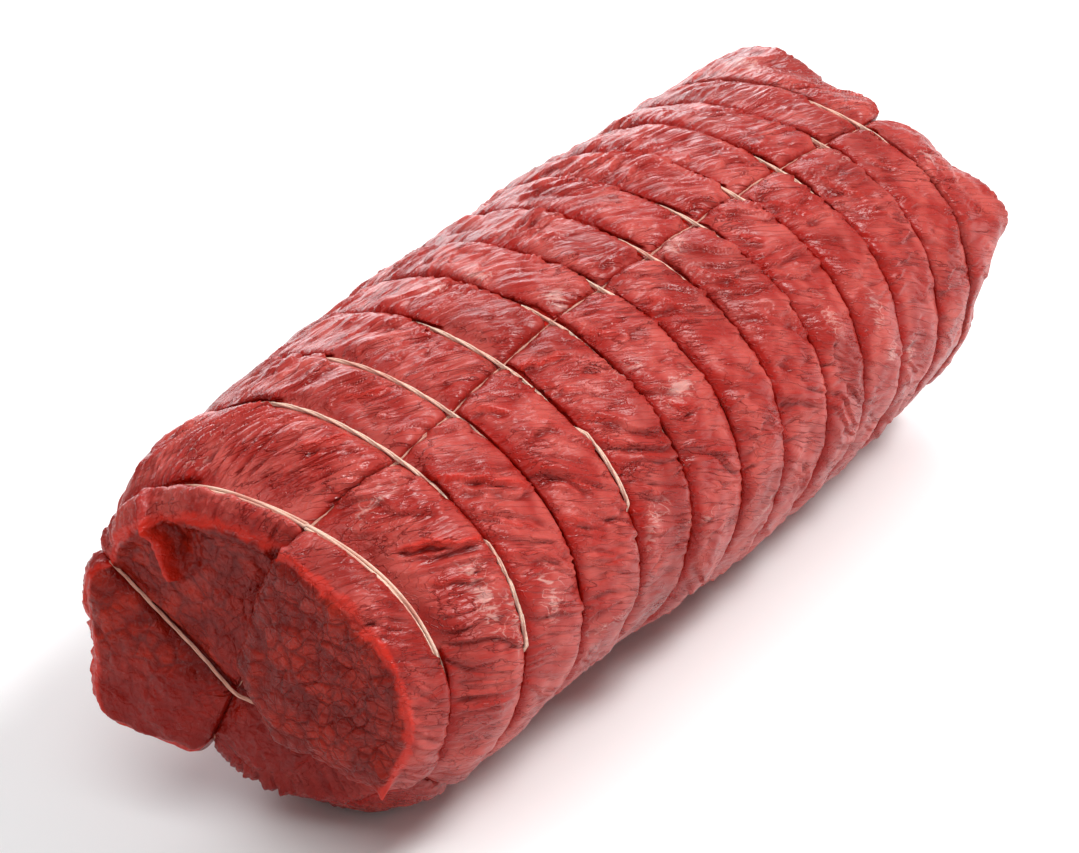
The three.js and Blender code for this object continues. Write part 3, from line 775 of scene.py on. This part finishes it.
# thin fat and silverskin that show as pale patches: x, degrees round, half length
# along the fibres, half width across them, strength
PALE_PATCHES = (
    (-111, 24, 3, 12, 0.9), (-105, 12, 3, 8, 0.8), (-92, 13, 5, 7, 0.8),
    (-54, 9, 4, 5, 0.9), (-47, 12, 6, 3, 0.8), (-23, 79, 5, 3.5, 1.0),
    (20, 69, 5, 3.5, 1.0), (-27, 102, 6, 4, 0.8), (-39, 107, 5, 3, 0.9),
    (-31, 48, 6, 3, 0.9), (-20, 36, 8, 3.5, 1.0), (132, 116, 5, 9, 1.0),
    (130, 44, 4, 3, 1.0), (83, 0, 3, 3, 1.0), (46, 25, 3, 7, 0.8),
    (66, 20, 3, 6, 0.7), (70, 5, 4, 4, 0.7), (-70, -8, 8, 2, 0.7),
    (-30, 2, 8, 2, 0.7), (5, -12, 6, 3, 0.6), (-118, 64, 9, 3, 0.6),
    (-124, 118, 8, 5, 0.5), (30, 140, 8, 5, 0.7), (-60, 175, 9, 6, 0.7),
    (70, 190, 8, 6, 0.6), (100, 60, 5, 3, 0.6),
)
pale = np.zeros(opened.shape)
for at, round_to, long, wide, strength in PALE_PATCHES:
    off = (skin[..., 0] - at) / long
    across = turned_by(angles, round_to) * DEG * LOG_RADIUS / wide
    pale = np.maximum(pale, strength * np.exp(-off * off - across * across))

# painted shade on the lowest lobes of the cut end, which face down, away from the lights
blood = smooth(-112, -138, skin[..., 0]) * (
    smooth(62, 25, skin[..., 2]) * smooth(-12, -38, turned_by(angles, 0))
)
blood = np.maximum(blood, 0.8 * step_shade)
radius = np.hypot(skin[..., 1], skin[..., 2] - AXIS_HEIGHT)
turned = angles + fibre_shift / LOG_RADIUS
grain = np.stack([along, radius * np.cos(turned), radius * np.sin(turned)], axis=-1)
marks = {
    "dip": dip, "pale": pale, "grain": grain * MM, "opened": shown,
    "cut_face": cut_face, "rim": rim_glow, "blood": blood, "lines": lines_between,
    "bundled": 0.35 + 0.65 * smooth(10, -25, skin[..., 1]),
    "wet": np.maximum(smooth(70, 100, angles / DEG), bell(segments, 0.6) * (angles > 0.9)),
}

# It is made in five lengths, which meet under ties, deep in their creases.
LENGTHS = (
    ("cut_end", None, 0), ("near", 0, 3), ("middle", 3, 6), ("far", 6, 9),
    ("far_end", 9, None),
)
POLE_INSET = 1.0  # mm from a length's last ring to its inner pole
stops = np.arange(len(body_marks["segment"]))
tie_rings = CAP_RINGS + SIDE_COUNT + np.array(
    [*(stops[body_marks["segment"][:, 0] == i][0] for i in range(LAST_TIE)), stops[-1]]
)


def length_of_meat(start, stop):
    """One closed length of the skin, from tie to tie or from an end's pole."""
    first = 0 if start is None else tie_rings[start]
    last = len(skin) if stop is None else tie_rings[stop] + 1
    rings = skin[first:last]
    poles = [
        pole(CUT_END) if start is None else rings[0].mean(axis=0) + (POLE_INSET, 0, 0),
        pole(ROUND_END) if stop is None else rings[-1].mean(axis=0) - (POLE_INSET, 0, 0),
    ]
    given = {}
    for key, value in marks.items():
        flat = value[first:last].reshape(-1, *value.shape[2:])
        given[key] = np.concatenate([flat, flat[:1], flat[-1:]])
    return *closed_skin(rings, poles), given


meat = [
    mesh_object(f"rolled_meat_{name}", *length_of_meat(start, stop))
    for name, start, stop in LENGTHS
]


# Its surface: wet red muscle. Light goes a millimetre or so in and comes out red, a
# film of juice gives small sharp glints, and thin fat shows as pale pink streaks.
def linear(hex_colour):
    """An sRGB hex colour as linear RGBA."""
    parts = [int(hex_colour[i:i + 2], 16) / 255 for i in (1, 3, 5)]
    return [
        *(c / 12.92 if c <= 0.04045 else ((c + 0.055) / 1.055) ** 2.4 for c in parts), 1,
    ]


def new_material(name):
    material = bpy.data.materials.new(name)
    material.use_nodes = True
    tree = material.node_tree
    tree.nodes.clear()
    return material, tree


def add(tree, kind, inputs=None, **settings):
    """Adds a node, sets it, and fills its inputs with values or links."""
    node = tree.nodes.new(kind)
    for key, value in settings.items():
        setattr(node, key, value)
    for key, value in (inputs or {}).items():
        if isinstance(value, bpy.types.NodeSocket):
            tree.links.new(value, node.inputs[key])
        else:
            node.inputs[key].default_value = value
    return node


MUSCLE_RED = "#a02a24"
MUSCLE_PALE = "#b84a42"
MUSCLE_DEEP = "#7d0f06"
LIP_SHADE_RED = "#9c140a"
CREASE_GLOW_RED = "#cd1b0a"
HOLLOW_SHADE_RED = "#7a0b05"
DEEP_SHADE_RED = "#860f05"
CUT_RED = "#9e200e"
CUT_DARK = "#7a1207"
CUT_CREASE = "#5e0803"
RIM_GLOW_RED = "#c8291a"
FAT_PINK = "#dba9a0"


def attribute(name):
    return add(tree, "ShaderNodeAttribute", attribute_name=name)


def scaled(vector, scale):
    return add(tree, "ShaderNodeMapping", {"Vector": vector, "Scale": scale}).outputs[0]


def ramp(value, low, high):
    node = add(tree, "ShaderNodeMapRange",
               {"Value": value, "From Min": low, "From Max": high},
               interpolation_type="SMOOTHSTEP")
    return node.outputs["Result"]


def blend_colour(factor, a, b):
    node = add(tree, "ShaderNodeMix", {0: factor, 6: a, 7: b}, data_type="RGBA")
    return node.outputs[2]


def tinted(colour, *layers):
    """The colour under layers, each a factor and a hex colour."""
    for factor, hex_colour in layers:
        colour = blend_colour(factor, colour, linear(hex_colour))
    return colour


def arithmetic(operation, *operands):
    inputs = dict(enumerate(operands))
    return add(tree, "ShaderNodeMath", inputs, operation=operation).outputs[0]


def times(a, b):
    return arithmetic("MULTIPLY", a, b)


def pattern(vector, scale, detail, roughness=0.5, distortion=0.0):
    return add(tree, "ShaderNodeTexNoise", {
        "Vector": vector, "Scale": scale, "Detail": detail,
        "Roughness": roughness, "Distortion": distortion}).outputs["Fac"]


def lines(value, width):
    """0 on thin lines where a pattern is halfway, 1 away from them."""
    off = arithmetic("ABSOLUTE", arithmetic("SUBTRACT", value, 0.5))
    return ramp(off, 0.0, width)


def grained(lengthwise, across, *settings):
    """Noise drawn out along the fibres, so many features a metre each way."""
    return pattern(scaled(grain_vector, (lengthwise, across, across)), 1.0, *settings)


# The cut end has the muscle cut across on its face; the other lengths have skin only.
raw_muscle = {}
for with_cut, name in ((True, "raw_red_muscle_wet_and_cut"), (False, "raw_red_muscle_wet")):
    raw_muscle[with_cut], tree = new_material(name)
    grain_vector = attribute("grain").outputs["Vector"]
    place_vector = add(tree, "ShaderNodeTexCoord").outputs["Object"]
    crease_shade_value, rim_glow_value, dip_value, pale_value, deep_shade_value, wet_value = (
        attribute(mark).outputs["Fac"]
        for mark in ("opened", "rim", "dip", "pale", "blood", "wet")
    )
    fibres = grained(150, 1300, 4.0, 0.6, 0.4)
    ridges = grained(50, 430, 3.0, 0.5, 0.3)
    cracks = lines(grained(28, 230, 3.0, 0.55, 0.3), 0.022)
    crack_places = ramp(pattern(place_vector, 75.0, 1.0), 0.42, 0.56)
    cracks = times(ramp(cracks, 0.9, 0.0), crack_places)
    wrinkles = lines(grained(45, 480, 1.0, 0.5, 0.2), 0.035)
    mottling = pattern(place_vector, 110.0, 4.0)
    broad = pattern(place_vector, 34.0, 2.0)
    marbling = grained(110, 330, 5.0, 0.62, 1.6)
    web = lines(grained(130, 260, 2.0, 0.5, 1.0), 0.045)

    threads_of_fat = times(ramp(web, 0.7, 0.0), ramp(pale_value, 0.08, 0.4))
    patches = arithmetic("ADD", marbling, times(pale_value, 0.33))
    fat = arithmetic("MAXIMUM", times(ramp(patches, 0.68, 0.86), 0.6),
                     times(threads_of_fat, 0.4))
    colour = tinted(
        blend_colour(ramp(mottling, 0.38, 0.66), linear(MUSCLE_RED), linear(MUSCLE_PALE)),
        (times(ramp(broad, 0.5, 0.7), 0.5), MUSCLE_DEEP),
        (times(ramp(fibres, 0.58, 0.75), 0.35), MUSCLE_PALE),
        # painted shade in the wrinkle grooves, which the bump also sinks
        (times(ramp(wrinkles, 0.8, 0.0), 0.25), MUSCLE_DEEP),
        # painted shade in the cracks
        (times(cracks, 0.7), HOLLOW_SHADE_RED),
        (fat, FAT_PINK),
        # painted shade: the colour darkens down the walls into the creases and over the
        # band on each bulge's cut-end side
        (ramp(crease_shade_value, 0.85, 0.5), LIP_SHADE_RED),
        # painted glow: deep in the creases a bright saturated red, so that their shade
        # reads dark red and not black
        (ramp(crease_shade_value, 0.45, 0.05), CREASE_GLOW_RED),
    )
    height = arithmetic("MULTIPLY_ADD", fibres, 0.35, times(wrinkles, 0.3))
    height = arithmetic("SUBTRACT", height, cracks)
    ridge_height = times(ridges, arithmetic("MULTIPLY_ADD", wet_value, 2.0, 0.8))
    height = arithmetic("ADD", height, ridge_height)

    if with_cut:  # the ends of bundles, drawn by thin dark lines: partly their own dark seams, partly painted shade in the grooves between them
        cut_value, lines_value, bundled_value = (
            attribute(mark).outputs["Fac"] for mark in ("cut_face", "lines", "bundled")
        )
        drift = add(tree, "ShaderNodeTexNoise", {
            "Vector": place_vector, "Scale": 180.0, "Detail": 2.0}).outputs["Color"]
        drift = add(tree, "ShaderNodeVectorMath", {0: drift, "Scale": 0.003},
                    operation="SCALE").outputs[0]
        warped = add(tree, "ShaderNodeVectorMath", {0: place_vector, 1: drift},
                     operation="ADD").outputs[0]
        cell_edges = add(tree, "ShaderNodeTexVoronoi", {"Vector": warped, "Scale": 270.0},
                         feature="DISTANCE_TO_EDGE").outputs["Distance"]
        cell_lines = times(ramp(cell_edges, 0.09, 0.0), bundled_value)
        all_lines = arithmetic("MAXIMUM", lines_value, times(cell_lines, 0.8))
        cut_colour = tinted(
            blend_colour(ramp(mottling, 0.35, 0.66), linear(CUT_DARK), linear(CUT_RED)),
            # partly the bundles' own dark seams, partly painted shade in the grooves
            (times(all_lines, 0.7), CUT_CREASE),
            # painted shade in the seams across the cut face
            (times(ramp(crease_shade_value, 0.55, 0.1), 0.9), CUT_CREASE),
        )
        colour = blend_colour(cut_value, colour, cut_colour)
        grainy = times(pattern(place_vector, 330.0, 4.0, 0.6), 2.6)
        cut_height = arithmetic("ADD", times(cell_lines, -0.5), grainy)
        height = arithmetic("ADD", times(height, arithmetic("SUBTRACT", 1.0, cut_value)),
                            times(cut_height, cut_value))
    colour = tinted(
        colour,
        # painted shade on the cut end's low lobes and beside its step
        (times(deep_shade_value, 0.85), DEEP_SHADE_RED),
        # painted glow along the cut's rim, the fold's ridge and the flaps' edges
        (times(rim_glow_value, 0.75), RIM_GLOW_RED),
        # painted shade in the hollows
        (times(ramp(dip_value, 0.1, 0.7), 0.8), HOLLOW_SHADE_RED),
    )
    bumps = add(tree, "ShaderNodeBump", {
        "Height": height, "Strength": 0.7, "Distance": 0.0006}).outputs["Normal"]
    # the top and the cut end's side are wettest
    dry = arithmetic("MULTIPLY_ADD", ramp(mottling, 0.3, 0.7), 0.16, 0.26)
    surface = add(tree, "ShaderNodeBsdfPrincipled", {
        "Base Color": colour,
        "Roughness": arithmetic("MULTIPLY_ADD", wet_value, -0.13, dry),
        "IOR": 1.27,            # a little under water's 1.33: less grey sheen on the red
        "Normal": bumps,
        "Subsurface Weight": 0.25,
        "Subsurface Radius": (1.0, 0.2, 0.1),
        "Subsurface Scale": 0.0014,
        "Coat Weight": 0.12,
        "Coat Roughness": 0.2,
        "Coat IOR": 1.33,
        "Coat Normal": bumps,
    })
    add(tree, "ShaderNodeOutputMaterial", {"Surface": surface.outputs[0]})

for piece in meat:
    piece.data.materials.append(raw_muscle[piece is meat[0]])
    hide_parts("meat")
    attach(piece, "root")

# ---------------------------------------------------------------------------
# The strings: soft cotton twine of three loose yarns, pulled tight round the meat
# and stained pink by it. The first tie is a band of turns that lie side by side.
# ---------------------------------------------------------------------------
LONG_STRING_RADIUS = 0.6
TIE_STEPS = 180
YARNS = 3
YARN_STEP = 0.45  # mm between the sections of a yarn
YARN_SIDES = 7


def twine_tree(material):
    """Yarns that turn about a path, from its points' outward directions."""
    tree = bpy.data.node_groups.new("twine", "GeometryNodeTree")
    sockets = tree.interface
    sockets.new_socket("Geometry", in_out="INPUT", socket_type="NodeSocketGeometry")
    sizes = (("Yarns", "NodeSocketInt"), ("Yarn radius", "NodeSocketFloat"),
             ("Spread out", "NodeSocketFloat"), ("Spread across", "NodeSocketFloat"),
             ("Turns per metre", "NodeSocketFloat"), ("Step", "NodeSocketFloat"),
             ("Sides", "NodeSocketInt"))
    for name, kind in sizes:
        sockets.new_socket(name, in_out="INPUT", socket_type=kind)
    sockets.new_socket("Geometry", in_out="OUTPUT", socket_type="NodeSocketGeometry")
    given = add(tree, "NodeGroupInput").outputs
    path = add(tree, "GeometryNodeMeshToCurve", {"Mesh": given["Geometry"]}).outputs[0]
    path = add(tree, "GeometryNodeResampleCurve",
               {"Curve": path, "Length": given["Step"]}, mode="LENGTH").outputs[0]
    copies = add(tree, "GeometryNodeDuplicateElements",
                 {"Geometry": path, "Amount": given["Yarns"]}, domain="SPLINE")
    along = add(tree, "GeometryNodeSplineParameter").outputs["Length"]

    def maths(operation, a, b=0.0):
        return add(tree, "ShaderNodeMath", {0: a, 1: b}, operation=operation).outputs[0]

    def vectors(operation, a, b):
        node = add(tree, "ShaderNodeVectorMath", {0: a, 1: b}, operation=operation)
        return node.outputs[0]

    def stretched(vector, scale):
        return add(tree, "ShaderNodeVectorMath", {0: vector, "Scale": scale},
                   operation="SCALE").outputs[0]

    share = maths("DIVIDE", copies.outputs["Duplicate Index"], given["Yarns"])
    turns = maths("ADD", share, maths("MULTIPLY", along, given["Turns per metre"]))
    turn = maths("MULTIPLY", turns, 2 * math.pi)
    out = add(tree, "GeometryNodeInputNamedAttribute", {"Name": "out"},
              data_type="FLOAT_VECTOR").outputs[0]
    tangent = add(tree, "GeometryNodeInputTangent").outputs[0]
    across = vectors("NORMALIZE", vectors("CROSS_PRODUCT", tangent, out), (0, 0, 0))
    outwards = stretched(out, maths("MULTIPLY", maths("COSINE", turn), given["Spread out"]))
    sideways = maths("MULTIPLY", maths("SINE", turn), given["Spread across"])
    sideways = stretched(across, sideways)
    moved = add(tree, "GeometryNodeSetPosition", {
        "Geometry": copies.outputs["Geometry"],
        "Offset": vectors("ADD", outwards, sideways)}).outputs[0]
    kept = add(tree, "GeometryNodeStoreNamedAttribute", {
        "Geometry": moved, "Name": "along", "Value": along},
        data_type="FLOAT", domain="POINT").outputs[0]
    ring = add(tree, "GeometryNodeCurvePrimitiveCircle", {
        "Resolution": given["Sides"], "Radius": given["Yarn radius"]}).outputs[0]
    ring = add(tree, "GeometryNodeStoreNamedAttribute", {
        "Geometry": ring, "Name": "around",
        "Value": add(tree, "GeometryNodeSplineParameter").outputs["Factor"]},
        data_type="FLOAT", domain="POINT").outputs[0]
    tube = add(tree, "GeometryNodeCurveToMesh",
               {"Curve": kept, "Profile Curve": ring, "Fill Caps": True}).outputs[0]
    real = add(tree, "GeometryNodeRealizeInstances", {"Geometry": tube}).outputs[0]
    done = add(tree, "GeometryNodeSetMaterial",
               {"Geometry": real, "Material": material}).outputs[0]
    add(tree, "NodeGroupOutput", {"Geometry": done})
    return tree


COTTON = "#f0ccb6"
COTTON_STAIN_AND_SHADE = "#d68f7d"
COTTON_DARKER = "#b8705c"
cotton_twine, tree = new_material("cotton_twine_stained")
along_value = attribute("along").outputs["Fac"]
around_value = attribute("around").outputs["Fac"]
place_vector = add(tree, "ShaderNodeTexCoord").outputs["Object"]
stain = add(tree, "ShaderNodeTexNoise", {
    "Vector": place_vector, "Scale": 120.0, "Detail": 3.0}).outputs["Fac"]
FIBRE_PITCH = 1.6 * MM  # along the yarn for one turn of its fibres
lay = arithmetic("ADD", arithmetic("DIVIDE", along_value, FIBRE_PITCH),
                 times(around_value, 3.0))
lay = arithmetic("SINE", times(lay, 2 * math.pi))
twine_colour = tinted(
    blend_colour(ramp(stain, 0.4, 0.75), linear(COTTON), linear(COTTON_STAIN_AND_SHADE)),
    # painted shade in the grooves between the twisted fibres, which the bump also sinks
    (times(ramp(lay, 0.2, -0.9), 0.35), COTTON_STAIN_AND_SHADE),
    # the long strings are coloured darker
    (attribute("soaked").outputs["Fac"], COTTON_DARKER),
)
twine_bump = add(tree, "ShaderNodeBump", {
    "Height": lay, "Strength": 0.5, "Distance": 0.00008}).outputs["Normal"]
surface = add(tree, "ShaderNodeBsdfPrincipled", {
    "Base Color": twine_colour, "Roughness": 0.75, "Normal": twine_bump,
    "Subsurface Weight": 0.15, "Subsurface Radius": (1.0, 0.7, 0.5),
    "Subsurface Scale": 0.0008, "Sheen Weight": 0.25,
})
add(tree, "ShaderNodeOutputMaterial", {"Surface": surface.outputs[0]})
twine_nodes = twine_tree(cotton_twine)


def twine(name, node, points, out, sizes, soaked=0.0):
    """A closed twine along points, made by the node tree and kept as a mesh."""
    n = len(points)
    mesh = bpy.data.meshes.new(name + "_path")
    edges = [(i, (i + 1) % n) for i in range(n)]
    mesh.from_pydata(((points + ORIGIN_SHIFT) * MM).tolist(), edges, [])
    direction = mesh.attributes.new("out", "FLOAT_VECTOR", "POINT")
    direction.data.foreach_set("vector", out.astype(np.float32).ravel())
    guide = bpy.data.objects.new(name + "_path", mesh)
    bpy.context.scene.collection.objects.link(guide)
    modifier = guide.modifiers.new("twine", "NODES")
    modifier.node_group = twine_nodes
    for item in twine_nodes.interface.items_tree:
        if item.in_out == "INPUT" and item.name in sizes:
            modifier[item.identifier] = sizes[item.name]
    depsgraph = bpy.context.evaluated_depsgraph_get()
    done = bpy.data.meshes.new_from_object(guide.evaluated_get(depsgraph))
    done.name = name
    done.shade_smooth()
    # how much darker this twine is coloured
    wet = done.attributes.new("soaked", "FLOAT", "POINT")
    wet.data.foreach_set("value", np.full(len(done.vertices), soaked, np.float32))
    made = bpy.data.objects.new(name, done)
    bpy.context.scene.collection.objects.link(made)
    bpy.data.objects.remove(guide)
    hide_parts(node)
    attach(made, "root")


def twine_sizes(radius, spread_out, spread_across, turns):
    return {
        "Yarns": YARNS, "Yarn radius": radius * MM, "Spread out": spread_out * MM,
        "Spread across": spread_across * MM, "Turns per metre": turns,
        "Step": YARN_STEP * MM, "Sides": YARN_SIDES,
    }


PLAIN = twine_sizes(0.33, 0.26, 0.3, 45.0)
BAND = twine_sizes(0.42, 0.3, 0.8, 8.0)
THIN = twine_sizes(0.28, 0.22, 0.22, 60.0)
AJAR_RISE = 2.3  # mm by which a tie comes up where its lips are ajar


def outward(angle):
    return np.stack([0 * angle, -np.cos(angle), np.sin(angle)], axis=-1)


def tie_path(i):
    angle = (TOP_SEAM[i] - np.arange(TIE_STEPS) * 360 / TIE_STEPS) * DEG
    angle = np.where(angle < -90 * DEG, angle + 2 * math.pi, angle)[:, None]
    k = np.full((TIE_STEPS, 1), float(i))
    radius = tie_line(k, angle) + AJAR_RISE * ajar_at(i, angle)
    x = TIE_X[i] + LEAN_SIDE[i] * np.cos(angle) + LEAN_TOP[i] * np.sin(angle)
    return place(x, TIE_X[i], angle, radius)[:, 0], outward(angle[:, 0])


for i in range(LAST_TIE + 1):
    points, out = tie_path(i)
    number = f"{i + 1:02d}"
    twine(f"twine_tie_{number}", f"tie_{number}", points, out, BAND if i == 0 else PLAIN)

LIFT = LONG_STRING_RADIUS + 0.5
TOP_LIFT, TOP_RISE = 2.3, 1.7  # mm of the top string at a tie, and more between them
RISEN = np.array([0.2, 0.7, 0.5, 0.2, 0.3, 0.5, 0.7, 0.8, 0.7, 0.4, 0.2])
SUNK = -0.5  # height of the top string in the cut face's seams
PASSING_LIFT = 1.8  # height of the other where it crosses it
SEAM_STOPS = np.arange(4 * LAST_TIE + 1) / 4


def lift_at(k, seam):
    """Height of a long string over its seam's floor."""
    i, on = tie_share(k)
    top = TOP_LIFT + TOP_RISE * RISEN[i] * np.sin(math.pi * on) ** 2
    return top if seam == 1 else LIFT


def seam_route(seam):
    k = SEAM_STOPS[:, None]
    angle = seams_at(k[:, 0])[seam][:, None]
    radius = tie_line(k, angle) - SEAM_DEPTH + lift_at(k, seam)
    x = station_at(k) + lean_at(k, angle)
    return place(x, station_at(k), angle, radius)[:, 0], outward(angle[:, 0])


def rim_route(end, seam):
    """Round an end's rim and along its seam line towards the crossing."""
    centre, rim = (np.array(p) for p in list(seam_lines(end))[seam])
    angle = seams_at(np.array([float(end["tie"])]))[seam]
    radial = outward(angle)[0]
    axial = np.array([end["sign"], 0, 0])
    corner = np.array([end["plane"] + end["tilt"] * rim[0], *rim])
    points, out = [], []
    lift = SUNK if end is CUT_END and seam in (1, 3) else LIFT
    for degrees in (0, 22.5, 45, 67.5, 90):
        side = radial * math.cos(degrees * DEG) + axial * math.sin(degrees * DEG)
        points.append(corner + side * lift)
        out.append(side)
    for share in (0.35, 0.7):
        p = mix(rim, centre, share)
        points.append([end["plane"] + end["tilt"] * p[0] + end["sign"] * lift, *p])
        out.append(axial)
    if end is CUT_END and seam == 0:  # here it still lies on the meat
        p = mix(rim, centre, 1 - PASSED / 2)
        x = end["plane"] + end["tilt"] * p[0] - PASSING_LIFT
        points.append([x, *p])
        out.append(axial)
    return np.array(points), np.array(out)


def crossing(end, outer):
    if end is CUT_END:
        height = PASSING_LIFT if outer else SUNK
    else:
        height = LIFT + (2 * LONG_STRING_RADIUS + 0.5 if outer else 0)
    x = end["plane"] + end["tilt"] * end["centre"][0] + end["sign"] * height
    return np.array([[x, *end["centre"]]]), np.array([[end["sign"], 0.0, 0.0]])


def backwards(route):
    return route[0][::-1], route[1][::-1]


def long_route(seam, opposite, outer):
    parts = [
        seam_route(seam), rim_route(ROUND_END, seam), crossing(ROUND_END, outer),
        backwards(rim_route(ROUND_END, opposite)), backwards(seam_route(opposite)),
        rim_route(CUT_END, opposite), crossing(CUT_END, outer),
        backwards(rim_route(CUT_END, seam)),
    ]
    return (np.concatenate(rows) for rows in zip(*parts))


def eased(points, out, steps=6):
    """More points along the same closed route, on a smooth curve through them."""
    n = len(points)
    t = np.arange(steps)[:, None] / steps
    rows, sides = [], []
    for i in range(n):
        a, b, c, d = (points[(i + o) % n] for o in (-1, 0, 1, 2))
        rows.append(0.5 * (2 * b + (c - a) * t + (2 * a - 5 * b + 4 * c - d) * t**2
                           + (3 * b - a - 3 * c + d) * t**3))
        side = mix(out[i], out[(i + 1) % n], t)
        sides.append(side / np.linalg.norm(side, axis=1, keepdims=True))
    return np.concatenate(rows), np.concatenate(sides)


for name, node, seam, opposite, outer in (
    ("twine_long_top", "long_string_top", 1, 3, False),
    ("twine_long_side", "long_string_side", 0, 2, True),
):
    points, out = eased(*long_route(seam, opposite, outer))
    # the long strings are coloured darker than the ties
    twine(name, node, points, out, THIN, soaked=0.7)

# ---------------------------------------------------------------------------
# Floor, light and camera: a plain white table under soft studio light from above,
# looked down on from beyond the cut end.
# ---------------------------------------------------------------------------
FLOOR_SIZE = 6.0
bpy.ops.mesh.primitive_plane_add(size=FLOOR_SIZE)
floor = bpy.context.object
floor.name = "floor"
# the table's matt white paint gives an even pale ground without glare
white, tree = new_material("matt_white_table")
surface = add(tree, "ShaderNodeBsdfPrincipled",
              {"Base Color": linear("#f4f4f4"), "Roughness": 0.9})
add(tree, "ShaderNodeOutputMaterial", {"Surface": surface.outputs[0]})
floor.data.materials.append(white)

world = bpy.data.worlds.new("studio")
bpy.context.scene.world = world
world.use_nodes = True
world.node_tree.nodes["Background"].inputs["Color"].default_value = linear("#ffffff")
world.node_tree.nodes["Background"].inputs["Strength"].default_value = 0.35


def softbox(name, size, power, direction, distance, colour=(1, 1, 1)):
    """A square area light that looks at the joint from a direction."""
    light = bpy.data.lights.new(name, "AREA")
    light.size = size
    light.energy = power
    light.color = colour
    lamp = bpy.data.objects.new(name, light)
    bpy.context.scene.collection.objects.link(lamp)
    toward = np.array(direction, float) / np.linalg.norm(direction)
    lamp.location = toward * distance + (0, 0, AXIS_HEIGHT * MM)
    lamp.rotation_euler = Vector(toward).to_track_quat("Z", "Y").to_euler()


softbox("key", 0.8, 80.0, (0.6, -0.6, 1.0), 3.0)
softbox("back", 1.8, 46.0, (0.75, 0.75, 0.36), 2.6, (0.93, 0.96, 1.0))
softbox("overhead", 2.2, 42.0, (-0.4, -0.05, 1.0), 3.0)

PHOTO_WIDTH = 1079  # pixels
FOCAL_PIXELS = 3768
CAMERA_TURN, CAMERA_HEIGHT = -57.6 * DEG, 29.45 * DEG
CAMERA_DISTANCE = 1.0
LOOK_AT = (np.array([-1.596, 8.105, 49.692]) + ORIGIN_SHIFT) * MM
SENSOR_WIDTH = 36

back = np.array([
    math.sin(CAMERA_TURN) * math.cos(CAMERA_HEIGHT),
    -math.cos(CAMERA_TURN) * math.cos(CAMERA_HEIGHT),
    math.sin(CAMERA_HEIGHT),
])
view = bpy.data.cameras.new("camera")
view.sensor_width = SENSOR_WIDTH
view.sensor_fit = "HORIZONTAL"
view.lens = FOCAL_PIXELS / PHOTO_WIDTH * SENSOR_WIDTH
view.clip_start = 0.01
camera = bpy.data.objects.new("camera", view)
bpy.context.scene.collection.objects.link(camera)
camera.location = LOOK_AT + back * CAMERA_DISTANCE
camera.rotation_euler = (math.pi / 2 - CAMERA_HEIGHT, 0, CAMERA_TURN)
bpy.context.scene.camera = camera
bpy.context.scene.view_settings.view_transform = "Standard"
